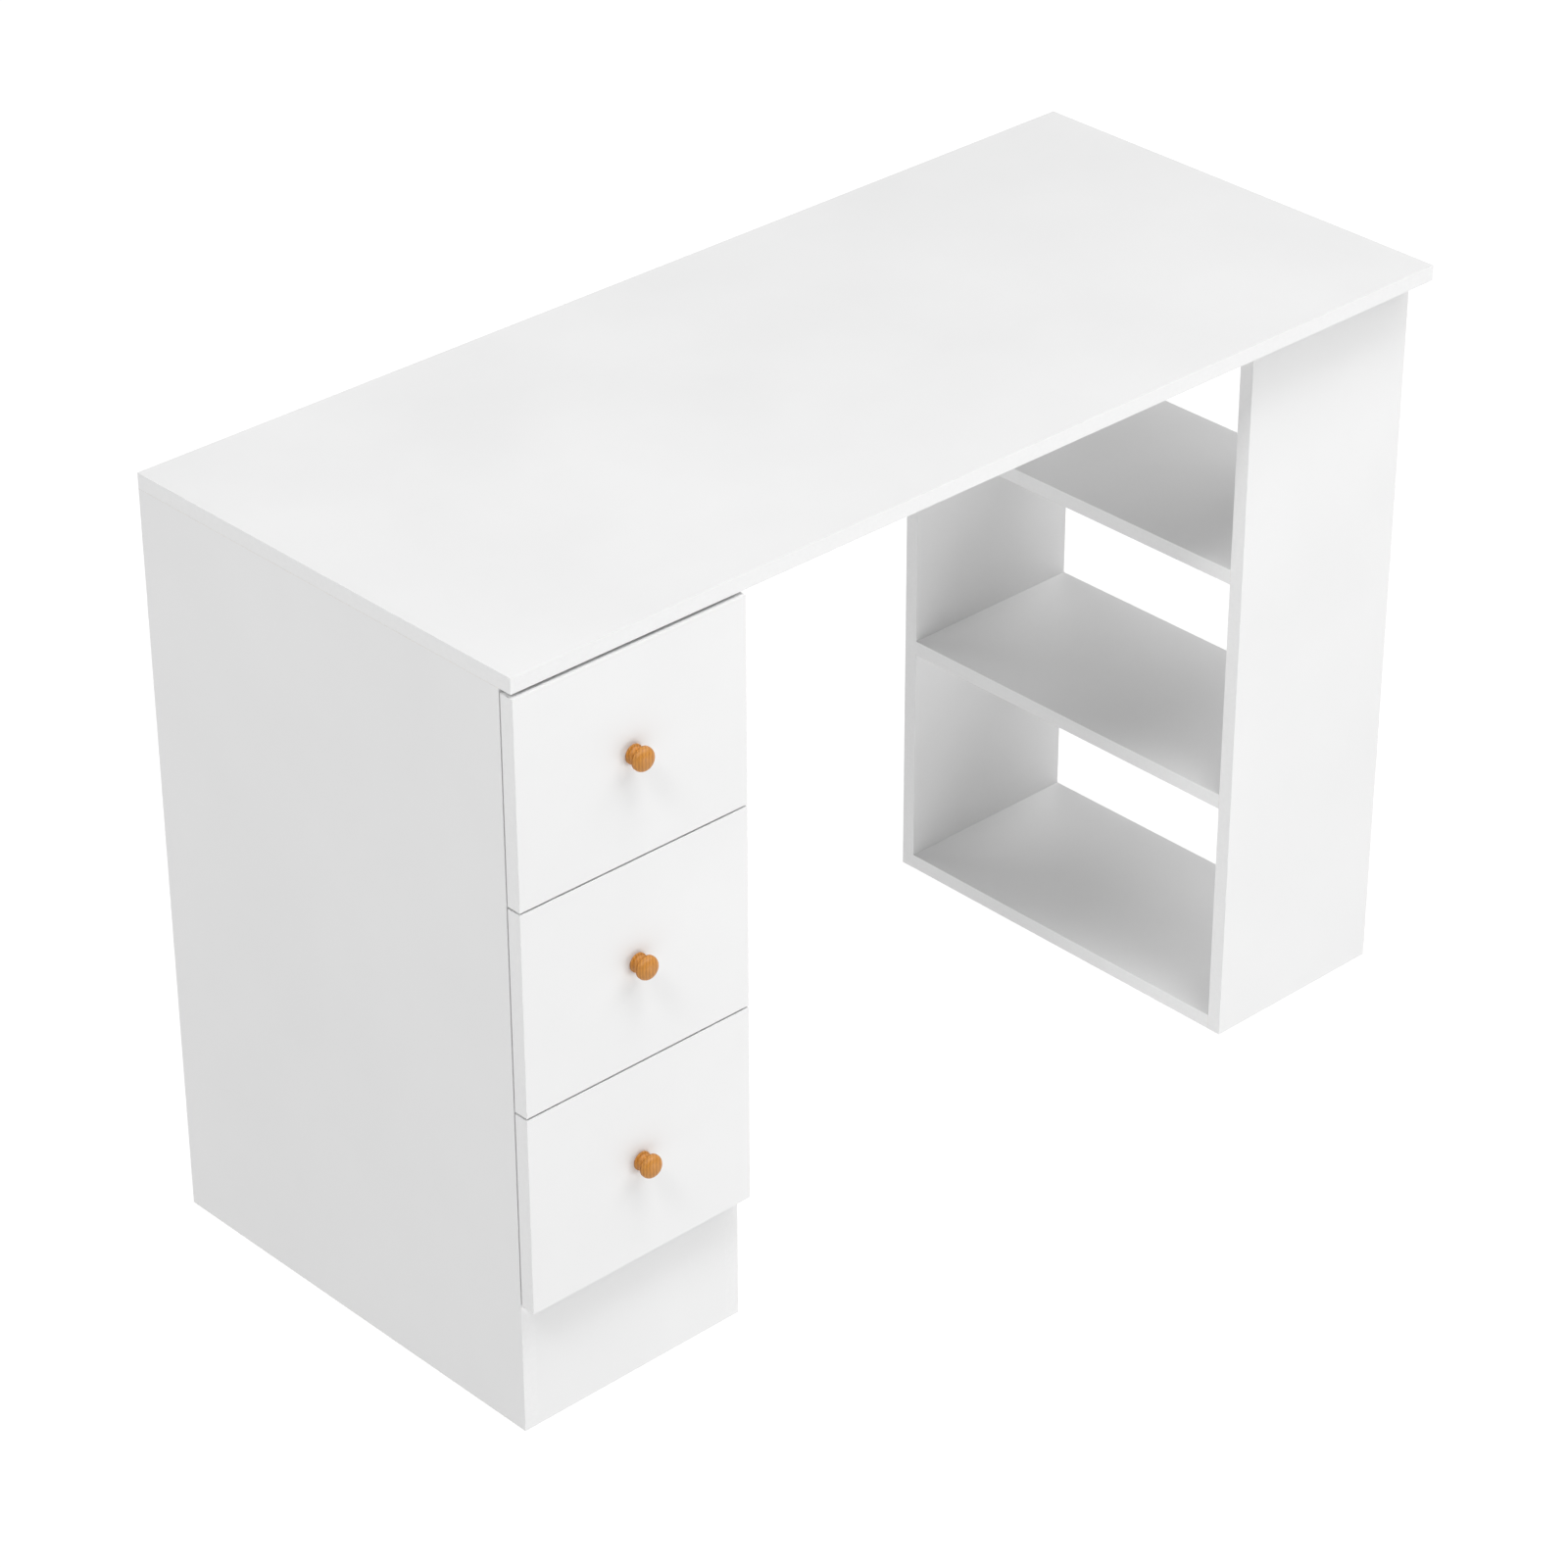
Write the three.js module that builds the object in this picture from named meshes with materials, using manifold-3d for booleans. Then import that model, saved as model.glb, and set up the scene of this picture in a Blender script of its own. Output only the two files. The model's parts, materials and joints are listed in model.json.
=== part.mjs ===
// White writing desk: one top board over a cabinet with three drawers, on the left, and an open shelf
// unit, on the right. The drawers run on steel runners with nylon rollers and have turned wooden knobs.
// Millimetres, +Z up, the desk's front faces -Y.
import * as THREE from "three";
import { mergeVertices } from "three/addons/utils/BufferGeometryUtils.js";
import Module from "manifold-3d";

const wasm = await Module();
wasm.setup();

// The whole desk.
const DESK_WIDTH = 1100;
const DESK_DEPTH = 480;
const DESK_HEIGHT = 750;
const BOARD = 15; // faced chipboard, used for the top, the carcasses and the drawer fronts
const HARDBOARD = 3; // backs and drawer bottoms

// The drawer cabinet.
const CABINET_WIDTH = 249;
const CABINET_SETBACK = 14.5; // the top's front edge to the cabinet's front edges
const PLINTH_HEIGHT = 120;
const BACK_INSET = 8; // the cabinet's rear edges to the back panel
const BACK_HEADROOM = 1; // above the back panel, under the top

// The shelf unit.
const SHELF_UNIT_WIDTH = 209;
const SHELF_UNIT_SIDE_SETBACK = 4.5; // the top's right end to the unit
const SHELF_UNIT_FRONT_SETBACK = 23;
const SHELF_UNIT_BACK_SETBACK = 22;
const MIDDLE_SHELF_TOP = 262;
const UPPER_SHELF_TOP = 501;
const STRETCHER_HEIGHT = 150;

// The drawers, which overlay the cabinet's front edges.
const DRAWERS = ["lower", "middle", "upper"];
const FRONT_OVERLAP = 1.5; // the lowest front hangs this far below the cabinet bottom's top face
const FRONT_STANDOFF = 1.5; // cabinet edges to the backs of the fronts
const FRONT_GAP = 2; // between two fronts
const TOP_GAP = 3.5; // upper front to the top
const DRAWER_SIDE = 12; // thickness of the drawers' sides and backs
const SIDE_CLEARANCE = 12.5; // each side of a drawer, for its pair of runners
const SIDE_HEADROOM = 26.75; // a drawer side's top edge to its front's top edge
const GROOVE_DEPTH = 5;
const GROOVE_PLAY = 0.25; // on each face and at the floor of a groove
const GROOVE_RISE = 10; // a drawer side's lower edge to its groove

// The knobs and their screws.
const KNOB_FOOT_RADIUS = 9;
const KNOB_FOOT_EDGE = 1.5; // the straight edge of the foot
const KNOB_NECK_RADIUS = 6;
const KNOB_NECK_ROUND = 1; // the neck's groove, each way
const KNOB_CAP_RADIUS = 12;
const KNOB_CAP_HEIGHT = 6.5; // of the dome
const KNOB_CAP_UNDERCUT = 2.5; // the cone behind the dome's rim
const KNOB_STEM = 5.5; // base to the middle of the neck
const KNOB_PROJECTION = 19;
const KNOB_BORE_DEPTH = 11;
const KNOB_ARC_STEPS = 6;
const KNOB_SIDES = 36;
const SCREW_RADIUS = 2;
const SCREW_PLAY = 0.3; // radial
const SCREW_TIP_PLAY = 1;
const SCREW_HEAD_RADIUS = 4;
const SCREW_HEAD_HEIGHT = 2.5;

// The roller runners.
const STEEL = 1.25;
const RUNNER_STEP = 50; // runners are made in lengths of whole steps
const RUNNER_REAR_ROOM = 10; // the least room behind a runner
const RUNNER_SETBACK = 2; // the cabinet's front edges to the runners
const RUNNER_RISE = 20; // a front's lower edge to the underside of its runners
const CHANNEL_WIDTH = 10;
const RAIL_FLANGE_PLAY = 1.5; // running flange to the channel's web
const RAIL_FRONT_PLAY = 1; // a drawer front to its runner
const FRONT_ROLLER_RADIUS = 8;
const REAR_ROLLER_RADIUS = 10;
const ROLLER_WIDTH = 6;
const ROLLER_PLAY = 0.125; // a roller to the flange that it runs on
const FRONT_ROLLER_LIFT = 0.375; // the channel's lower flange to the front roller
const REAR_ROLLER_HEADROOM = 1.375; // the rear roller to the channel's upper flange
const FLANGE_HEADROOM = 3; // the least room over the running flange, in the channel
const ROLLER_TO_END = 4; // a roller's rim to the end of its runner
const FLANGE_TO_ROLLER = 2; // the running flange's end to the rear roller's rim
const PIN_RADIUS = 2;
const PIN_PLAY = 0.15; // radial, in a roller's bore
const PIN_HEAD_RADIUS = 3;
const PIN_HEAD = 1; // thickness
const PIN_BOSS = 1.5; // the collar between the web and the roller
const PIN_END_PLAY = 0.25; // each face of a roller, between the collar and the head
const TURNED_SIDES = 24; // sides of a pin, roller, screw or hole

// Places that follow from them. Y is measured from the middle of the top board.
const LEFT = -DESK_WIDTH / 2;
const RIGHT = DESK_WIDTH / 2;
const FRONT = -DESK_DEPTH / 2;
const BACK = DESK_DEPTH / 2;
const UNDERSIDE = DESK_HEIGHT - BOARD;

const CABINET_FRONT = FRONT + CABINET_SETBACK;
const CABINET_RIGHT = LEFT + CABINET_WIDTH;
const INSIDE_LEFT = LEFT + BOARD;
const INSIDE_RIGHT = CABINET_RIGHT - BOARD;
const CABINET_CENTRE = (LEFT + CABINET_RIGHT) / 2;
const CABINET_FLOOR = PLINTH_HEIGHT + BOARD;
const BACK_PANEL_REAR = BACK - BACK_INSET;
const BACK_PANEL_FRONT = BACK_PANEL_REAR - HARDBOARD;

const UNIT_RIGHT = RIGHT - SHELF_UNIT_SIDE_SETBACK;
const UNIT_LEFT = UNIT_RIGHT - SHELF_UNIT_WIDTH;
const UNIT_FRONT = FRONT + SHELF_UNIT_FRONT_SETBACK;
const UNIT_BACK = BACK - SHELF_UNIT_BACK_SETBACK;

const DRAWER_FRONT_BACK = CABINET_FRONT - FRONT_STANDOFF;
const DRAWER_FRONT_FACE = DRAWER_FRONT_BACK - BOARD;
const LOWEST_FRONT = CABINET_FLOOR - FRONT_OVERLAP;
const FRONTS_HEIGHT = UNDERSIDE - TOP_GAP - LOWEST_FRONT;
const FRONT_HEIGHT = (FRONTS_HEIGHT - FRONT_GAP * (DRAWERS.length - 1)) / DRAWERS.length;
const BOX_LEFT = INSIDE_LEFT + SIDE_CLEARANCE;
const BOX_RIGHT = INSIDE_RIGHT - SIDE_CLEARANCE;
const RUNNER_ROOM = BACK_PANEL_FRONT - CABINET_FRONT - RUNNER_REAR_ROOM;
const RUNNER_LENGTH = Math.floor(RUNNER_ROOM / RUNNER_STEP) * RUNNER_STEP;
const BOX_REAR = DRAWER_FRONT_BACK + RUNNER_LENGTH;
const SIDE_HEIGHT = FRONT_HEIGHT - RUNNER_RISE - STEEL - SIDE_HEADROOM;

// The underside of a drawer's runner to the top of its running flange, which lies on the front roller.
const RAIL_HEIGHT = 2 * STEEL + FRONT_ROLLER_LIFT + 2 * FRONT_ROLLER_RADIUS + ROLLER_PLAY;
const CHANNEL_HEIGHT = Math.max(
  2 * STEEL + ROLLER_PLAY + 2 * REAR_ROLLER_RADIUS + REAR_ROLLER_HEADROOM,
  RAIL_HEIGHT + FLANGE_HEADROOM + STEEL,
);

// A box between two corners, whose vertices are exactly those corners' coordinates.
function block(low, high) {
  const geometry = new THREE.BoxGeometry(1, 1, 1);
  const position = geometry.getAttribute("position");
  for (let i = 0; i < position.count; i++) {
    position.setXYZ(
      i,
      position.getX(i) < 0 ? low[0] : high[0],
      position.getY(i) < 0 ? low[1] : high[1],
      position.getZ(i) < 0 ? low[2] : high[2],
    );
  }
  return geometry;
}

// A closed outline of [x, z] points, extruded along Y from y0 to y1.
function extrudeAlongY(outline, y0, y1) {
  const shape = new THREE.Shape(outline.map(([x, z]) => new THREE.Vector2(x, -z)));
  const geometry = new THREE.ExtrudeGeometry(shape, { depth: y1 - y0, bevelEnabled: false });
  return geometry.rotateX(-Math.PI / 2).translate(0, y0, 0);
}

// A closed outline of [x, y] points, extruded along Z from z0 to z1.
function extrudeAlongZ(outline, z0, z1) {
  const shape = new THREE.Shape(outline.map(([x, y]) => new THREE.Vector2(x, y)));
  const geometry = new THREE.ExtrudeGeometry(shape, { depth: z1 - z0, bevelEnabled: false });
  return geometry.translate(0, 0, z0);
}

// A profile of [radius, distance] points turned about an axis that runs along +X from the origin.
function turnAboutX(profile, segments) {
  const points = profile.map(([r, d]) => new THREE.Vector2(r, d));
  return new THREE.LatheGeometry(points, segments).rotateZ(-Math.PI / 2);
}

// The same, about an axis that runs along -Y.
function turnAboutMinusY(profile, segments) {
  const points = profile.map(([r, d]) => new THREE.Vector2(r, d));
  return new THREE.LatheGeometry(points, segments).rotateX(Math.PI);
}

function solidOf(geometry) {
  const bare = new THREE.BufferGeometry();
  const source = geometry.index ? geometry.toNonIndexed() : geometry;
  bare.setAttribute("position", source.getAttribute("position"));
  const merged = mergeVertices(bare, 1e-3);
  const mesh = new wasm.Mesh({
    numProp: 3,
    vertProperties: merged.getAttribute("position").array,
    triVerts: new Uint32Array(merged.index.array),
  });
  return new wasm.Manifold(mesh);
}

function geometryOf(solid) {
  const mesh = solid.getMesh();
  const geometry = new THREE.BufferGeometry();
  geometry.setAttribute("position", new THREE.BufferAttribute(mesh.vertProperties, mesh.numProp));
  geometry.setIndex(new THREE.BufferAttribute(mesh.triVerts, 1));
  geometry.computeVertexNormals();
  return geometry;
}

function join(first, ...others) {
  return geometryOf(others.reduce((sum, other) => sum.add(solidOf(other)), solidOf(first)));
}

function cut(first, ...tools) {
  return geometryOf(tools.reduce((rest, tool) => rest.subtract(solidOf(tool)), solidOf(first)));
}

const finishes = {
  whiteBoard: () => new THREE.MeshStandardMaterial({ color: 0xf2f2f0, roughness: 0.5, metalness: 0 }),
  hardboard: () => new THREE.MeshStandardMaterial({ color: 0xe6e4de, roughness: 0.7, metalness: 0 }),
  knobWood: () => new THREE.MeshStandardMaterial({ color: 0xc98435, roughness: 0.4, metalness: 0 }),
  coatedSteel: () => new THREE.MeshStandardMaterial({ color: 0xe8e8e6, roughness: 0.45, metalness: 0.2 }),
  zincSteel: () => new THREE.MeshStandardMaterial({ color: 0xb9bcc0, roughness: 0.35, metalness: 1 }),
  nylon: () => new THREE.MeshStandardMaterial({ color: 0xf0efe9, roughness: 0.5, metalness: 0 }),
};

function part(name, geometry, finish) {
  const mesh = new THREE.Mesh(geometry, finishes[finish]());
  mesh.name = name;
  return mesh;
}

function board(name, low, high) {
  return part(name, block(low, high), "whiteBoard");
}

// A cabinet side, grooved down its inner face for the back panel. inward is +1 on the left side, -1 on
// the right.
function cabinetSide(name, outerFace, innerFace, inward) {
  const floor = innerFace - inward * GROOVE_DEPTH;
  const outline = [
    [outerFace, CABINET_FRONT],
    [innerFace, CABINET_FRONT],
    [innerFace, BACK_PANEL_FRONT - GROOVE_PLAY],
    [floor, BACK_PANEL_FRONT - GROOVE_PLAY],
    [floor, BACK_PANEL_REAR + GROOVE_PLAY],
    [innerFace, BACK_PANEL_REAR + GROOVE_PLAY],
    [innerFace, BACK],
    [outerFace, BACK],
  ];
  return part(name, extrudeAlongZ(outline, 0, UNDERSIDE), "whiteBoard");
}

function cabinetBack() {
  const reach = GROOVE_DEPTH - GROOVE_PLAY;
  const low = [INSIDE_LEFT - reach, BACK_PANEL_FRONT, PLINTH_HEIGHT];
  const high = [INSIDE_RIGHT + reach, BACK_PANEL_REAR, UNDERSIDE - BACK_HEADROOM];
  return part("cabinet_back", block(low, high), "hardboard");
}

function cabinet() {
  const group = new THREE.Group();
  group.add(
    cabinetSide("cabinet_side_outer", LEFT, INSIDE_LEFT, 1),
    cabinetSide("cabinet_side_inner", CABINET_RIGHT, INSIDE_RIGHT, -1),
    board(
      "cabinet_bottom",
      [INSIDE_LEFT, CABINET_FRONT, PLINTH_HEIGHT],
      [INSIDE_RIGHT, BACK_PANEL_FRONT, CABINET_FLOOR],
    ),
    board(
      "plinth_front",
      [INSIDE_LEFT, CABINET_FRONT, 0],
      [INSIDE_RIGHT, CABINET_FRONT + BOARD, PLINTH_HEIGHT],
    ),
    board(
      "plinth_rear",
      [INSIDE_LEFT, BACK_PANEL_FRONT - BOARD, 0],
      [INSIDE_RIGHT, BACK_PANEL_FRONT, PLINTH_HEIGHT],
    ),
    cabinetBack(),
  );
  return group;
}

function shelf(name, top) {
  return board(
    name,
    [UNIT_LEFT, UNIT_FRONT + BOARD, top - BOARD],
    [UNIT_RIGHT, UNIT_BACK - BOARD, top],
  );
}

// Two panels from the floor to the top, with three boards between them, open at both sides.
function shelfUnit() {
  const group = new THREE.Group();
  group.add(
    board(
      "shelf_unit_front_panel",
      [UNIT_LEFT, UNIT_FRONT, 0],
      [UNIT_RIGHT, UNIT_FRONT + BOARD, UNDERSIDE],
    ),
    board(
      "shelf_unit_rear_panel",
      [UNIT_LEFT, UNIT_BACK - BOARD, 0],
      [UNIT_RIGHT, UNIT_BACK, UNDERSIDE],
    ),
    shelf("shelf_bottom", BOARD),
    shelf("shelf_middle", MIDDLE_SHELF_TOP),
    shelf("shelf_upper", UPPER_SHELF_TOP),
  );
  return group;
}

// The rail under the top's rear edge that keeps the desk from racking. It butts on the cabinet's inner
// side and on the edge of the shelf unit's rear panel.
function rearStretcher() {
  return board(
    "rear_stretcher",
    [CABINET_RIGHT, UNIT_BACK - BOARD, UNDERSIDE - STRETCHER_HEIGHT],
    [UNIT_LEFT, UNIT_BACK, UNDERSIDE],
  );
}

// A riveted pin along +X, from the face of its runner's web at x = 0: its root in the web, a collar, the
// shank that a roller turns on, and the head that keeps the roller there.
function pin() {
  const headAt = PIN_BOSS + 2 * PIN_END_PLAY + ROLLER_WIDTH;
  const profile = [
    [0, -STEEL / 2],
    [PIN_HEAD_RADIUS, -STEEL / 2],
    [PIN_HEAD_RADIUS, PIN_BOSS],
    [PIN_RADIUS, PIN_BOSS],
    [PIN_RADIUS, headAt],
    [PIN_HEAD_RADIUS, headAt],
    [PIN_HEAD_RADIUS, headAt + PIN_HEAD],
    [0, headAt + PIN_HEAD],
  ];
  return turnAboutX(profile, TURNED_SIDES);
}

function roller(name, radius, x0, y, z) {
  const bore = PIN_RADIUS + PIN_PLAY;
  const profile = [
    [bore, 0],
    [radius, 0],
    [radius, ROLLER_WIDTH],
    [bore, ROLLER_WIDTH],
    [bore, 0],
  ];
  return part(name, turnAboutX(profile, TURNED_SIDES).translate(x0, y, z), "nylon");
}

const MIRROR = new THREE.Matrix4().makeScale(-1, 1, 1);

// Turns a geometry made for the cabinet's left side, as distances from that side's inner face, into the
// one for the left or right side in place.
function placeAtSide(geometry, side) {
  if (side === "left") return geometry.translate(INSIDE_LEFT, 0, 0);
  const mirrored = geometry.index ? geometry.toNonIndexed() : geometry;
  const position = mirrored.applyMatrix4(MIRROR).getAttribute("position");
  for (let i = 0; i < position.count; i += 3) {
    const [x, y, z] = [position.getX(i), position.getY(i), position.getZ(i)];
    position.setXYZ(i, position.getX(i + 1), position.getY(i + 1), position.getZ(i + 1));
    position.setXYZ(i + 1, x, y, z);
  }
  mirrored.computeVertexNormals();
  return mirrored.translate(INSIDE_RIGHT, 0, 0);
}

const CHANNEL_FRONT = CABINET_FRONT + RUNNER_SETBACK;
const FRONT_ROLLER_Y = CHANNEL_FRONT + ROLLER_TO_END + FRONT_ROLLER_RADIUS;
const REAR_ROLLER_Y = BOX_REAR - ROLLER_TO_END - REAR_ROLLER_RADIUS;

// The channel screwed to the cabinet's side, with a roller at its front end.
function cabinetRunner(drawer, side, base) {
  const outline = [
    [0, base],
    [CHANNEL_WIDTH, base],
    [CHANNEL_WIDTH, base + STEEL],
    [STEEL, base + STEEL],
    [STEEL, base + CHANNEL_HEIGHT - STEEL],
    [CHANNEL_WIDTH, base + CHANNEL_HEIGHT - STEEL],
    [CHANNEL_WIDTH, base + CHANNEL_HEIGHT],
    [0, base + CHANNEL_HEIGHT],
  ];
  const channel = extrudeAlongY(outline, CHANNEL_FRONT, CHANNEL_FRONT + RUNNER_LENGTH);
  const x = STEEL + PIN_BOSS + PIN_END_PLAY;
  const z = base + STEEL + FRONT_ROLLER_LIFT + FRONT_ROLLER_RADIUS;
  const axle = pin().translate(STEEL, FRONT_ROLLER_Y, z);
  const wheel = roller(`${drawer}_front_roller_${side}`, FRONT_ROLLER_RADIUS, x, FRONT_ROLLER_Y, z);
  wheel.geometry = placeAtSide(wheel.geometry, side);
  const runner = placeAtSide(join(channel, axle), side);
  return [part(`${drawer}_cabinet_runner_${side}`, runner, "coatedSteel"), wheel];
}

// The rail under a drawer's side, with a running flange that lies on the front roller and a roller of
// its own at the rear end.
function drawerRunner(drawer, side, base) {
  const webFace = SIDE_CLEARANCE - STEEL;
  const underSide = SIDE_CLEARANCE + DRAWER_SIDE;
  const front = DRAWER_FRONT_BACK + RAIL_FRONT_PLAY;
  const angle = [
    [webFace, base],
    [underSide, base],
    [underSide, base + STEEL],
    [SIDE_CLEARANCE, base + STEEL],
    [SIDE_CLEARANCE, base + RAIL_HEIGHT],
    [webFace, base + RAIL_HEIGHT],
  ];
  const flangeLow = [STEEL + RAIL_FLANGE_PLAY, front, base + RAIL_HEIGHT - STEEL];
  const flangeEnd = REAR_ROLLER_Y - REAR_ROLLER_RADIUS - FLANGE_TO_ROLLER;
  const flangeHigh = [SIDE_CLEARANCE, flangeEnd, base + RAIL_HEIGHT];
  const z = base + STEEL + ROLLER_PLAY + REAR_ROLLER_RADIUS;
  const axle = pin().rotateZ(Math.PI).translate(webFace, REAR_ROLLER_Y, z);
  const rail = join(extrudeAlongY(angle, front, BOX_REAR), block(flangeLow, flangeHigh), axle);
  const x = webFace - PIN_BOSS - PIN_END_PLAY - ROLLER_WIDTH;
  const wheel = roller(`${drawer}_rear_roller_${side}`, REAR_ROLLER_RADIUS, x, REAR_ROLLER_Y, z);
  wheel.geometry = placeAtSide(wheel.geometry, side);
  return [part(`${drawer}_drawer_runner_${side}`, placeAtSide(rail, side), "coatedSteel"), wheel];
}

// A drawer side, grooved along its inner face for the bottom.
function drawerSide(name, outerFace, inward, base) {
  const innerFace = outerFace + inward * DRAWER_SIDE;
  const floor = innerFace - inward * GROOVE_DEPTH;
  const grooveLow = base + GROOVE_RISE;
  const grooveHigh = grooveLow + HARDBOARD + 2 * GROOVE_PLAY;
  const outline = [
    [outerFace, base],
    [innerFace, base],
    [innerFace, grooveLow],
    [floor, grooveLow],
    [floor, grooveHigh],
    [innerFace, grooveHigh],
    [innerFace, base + SIDE_HEIGHT],
    [outerFace, base + SIDE_HEIGHT],
  ];
  return part(name, extrudeAlongY(outline, DRAWER_FRONT_BACK, BOX_REAR), "whiteBoard");
}

function drawerBack(name, base) {
  const floorTop = base + GROOVE_RISE + GROOVE_PLAY + HARDBOARD;
  return board(
    name,
    [BOX_LEFT + DRAWER_SIDE, BOX_REAR - DRAWER_SIDE, floorTop],
    [BOX_RIGHT - DRAWER_SIDE, BOX_REAR, base + SIDE_HEIGHT],
  );
}

function drawerBottom(name, base) {
  const reach = GROOVE_DEPTH - GROOVE_PLAY;
  const underside = base + GROOVE_RISE + GROOVE_PLAY;
  const low = [BOX_LEFT + DRAWER_SIDE - reach, DRAWER_FRONT_BACK, underside];
  const high = [BOX_RIGHT - DRAWER_SIDE + reach, BOX_REAR, underside + HARDBOARD];
  return part(name, block(low, high), "hardboard");
}

function drawerFront(name, bottom, knobHeight) {
  const panel = block(
    [LEFT, DRAWER_FRONT_FACE, bottom],
    [CABINET_RIGHT, DRAWER_FRONT_BACK, bottom + FRONT_HEIGHT],
  );
  const radius = SCREW_RADIUS + SCREW_PLAY;
  const hole = new THREE.CylinderGeometry(radius, radius, 3 * BOARD, TURNED_SIDES);
  hole.translate(CABINET_CENTRE, (DRAWER_FRONT_FACE + DRAWER_FRONT_BACK) / 2, knobHeight);
  return part(name, cut(panel, hole), "whiteBoard");
}

// A turned knob: a flared foot, a neck and a domed cap, bored from behind for its screw.
function knob(name, height) {
  const bore = SCREW_RADIUS + SCREW_PLAY;
  const rimAt = KNOB_PROJECTION - KNOB_CAP_HEIGHT;
  const profile = [
    [0, KNOB_BORE_DEPTH],
    [bore, KNOB_BORE_DEPTH],
    [bore, 0],
    [KNOB_FOOT_RADIUS, 0],
    [KNOB_FOOT_RADIUS, KNOB_FOOT_EDGE],
    [KNOB_NECK_RADIUS, KNOB_STEM - KNOB_NECK_ROUND],
    [KNOB_NECK_RADIUS, KNOB_STEM + KNOB_NECK_ROUND],
    [KNOB_CAP_RADIUS - KNOB_NECK_ROUND, rimAt - KNOB_CAP_UNDERCUT],
  ];
  for (let i = 0; i < KNOB_ARC_STEPS; i++) {
    const angle = (i / KNOB_ARC_STEPS) * (Math.PI / 2);
    profile.push([KNOB_CAP_RADIUS * Math.cos(angle), rimAt + KNOB_CAP_HEIGHT * Math.sin(angle)]);
  }
  profile.push([0, KNOB_PROJECTION]);
  const turned = turnAboutMinusY(profile, KNOB_SIDES);
  const geometry = turned.translate(CABINET_CENTRE, DRAWER_FRONT_FACE, height);
  return part(name, geometry, "knobWood");
}

// The knob's screw, put in from inside the drawer.
function knobScrew(name, height) {
  const length = BOARD + KNOB_BORE_DEPTH - SCREW_TIP_PLAY;
  const profile = [
    [0, -SCREW_HEAD_HEIGHT],
    [SCREW_HEAD_RADIUS, -SCREW_HEAD_HEIGHT],
    [SCREW_HEAD_RADIUS, 0],
    [SCREW_RADIUS, 0],
    [SCREW_RADIUS, length],
    [0, length],
  ];
  const turned = turnAboutMinusY(profile, TURNED_SIDES);
  return part(name, turned.translate(CABINET_CENTRE, DRAWER_FRONT_BACK, height), "zincSteel");
}

function drawer(name, bottom) {
  const group = new THREE.Group();
  const runnerBase = bottom + RUNNER_RISE;
  const base = runnerBase + STEEL;
  const knobHeight = bottom + FRONT_HEIGHT / 2;
  group.add(
    drawerFront(`${name}_drawer_front`, bottom, knobHeight),
    drawerSide(`${name}_drawer_side_left`, BOX_LEFT, 1, base),
    drawerSide(`${name}_drawer_side_right`, BOX_RIGHT, -1, base),
    drawerBack(`${name}_drawer_back`, base),
    drawerBottom(`${name}_drawer_bottom`, base),
    knob(`${name}_knob`, knobHeight),
    knobScrew(`${name}_knob_screw`, knobHeight),
  );
  for (const side of ["left", "right"]) {
    group.add(...cabinetRunner(name, side, runnerBase), ...drawerRunner(name, side, runnerBase));
  }
  return group;
}

const desk = new THREE.Group();
desk.add(
  board("desktop", [LEFT, FRONT, UNDERSIDE], [RIGHT, BACK, DESK_HEIGHT]),
  cabinet(),
  shelfUnit(),
  rearStretcher(),
  ...DRAWERS.map((name, i) => drawer(name, LOWEST_FRONT + i * (FRONT_HEIGHT + FRONT_GAP))),
);

// The origin is on the floor, in the middle of the space that the desk takes up, knobs included.
desk.position.y = (FRONT - DRAWER_FRONT_FACE + KNOB_PROJECTION) / 2;

export default desk;
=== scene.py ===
import json
import math

import bmesh
import bpy
from mathutils import Matrix, Quaternion, Vector

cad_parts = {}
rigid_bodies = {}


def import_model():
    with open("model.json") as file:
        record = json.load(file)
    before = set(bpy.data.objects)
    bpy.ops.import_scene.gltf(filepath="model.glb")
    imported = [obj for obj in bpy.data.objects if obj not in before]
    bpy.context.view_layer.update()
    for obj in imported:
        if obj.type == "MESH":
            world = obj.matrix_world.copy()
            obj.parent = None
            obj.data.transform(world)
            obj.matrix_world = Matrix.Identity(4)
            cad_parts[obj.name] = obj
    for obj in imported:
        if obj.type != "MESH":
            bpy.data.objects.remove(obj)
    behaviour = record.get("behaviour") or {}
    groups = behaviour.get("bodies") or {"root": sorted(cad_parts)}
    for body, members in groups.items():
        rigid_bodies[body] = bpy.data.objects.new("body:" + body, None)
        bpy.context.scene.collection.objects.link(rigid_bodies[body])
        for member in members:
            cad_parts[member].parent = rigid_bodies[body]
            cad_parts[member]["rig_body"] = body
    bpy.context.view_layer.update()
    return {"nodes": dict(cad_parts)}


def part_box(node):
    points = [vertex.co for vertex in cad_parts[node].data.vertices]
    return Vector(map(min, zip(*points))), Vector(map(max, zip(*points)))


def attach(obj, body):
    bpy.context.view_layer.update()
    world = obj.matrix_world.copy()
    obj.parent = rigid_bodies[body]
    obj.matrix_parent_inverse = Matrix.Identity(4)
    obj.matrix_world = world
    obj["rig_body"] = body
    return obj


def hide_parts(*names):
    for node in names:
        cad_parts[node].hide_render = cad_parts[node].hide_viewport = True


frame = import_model()
scene = bpy.context.scene
scene.view_settings.view_transform = "Standard"


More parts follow.
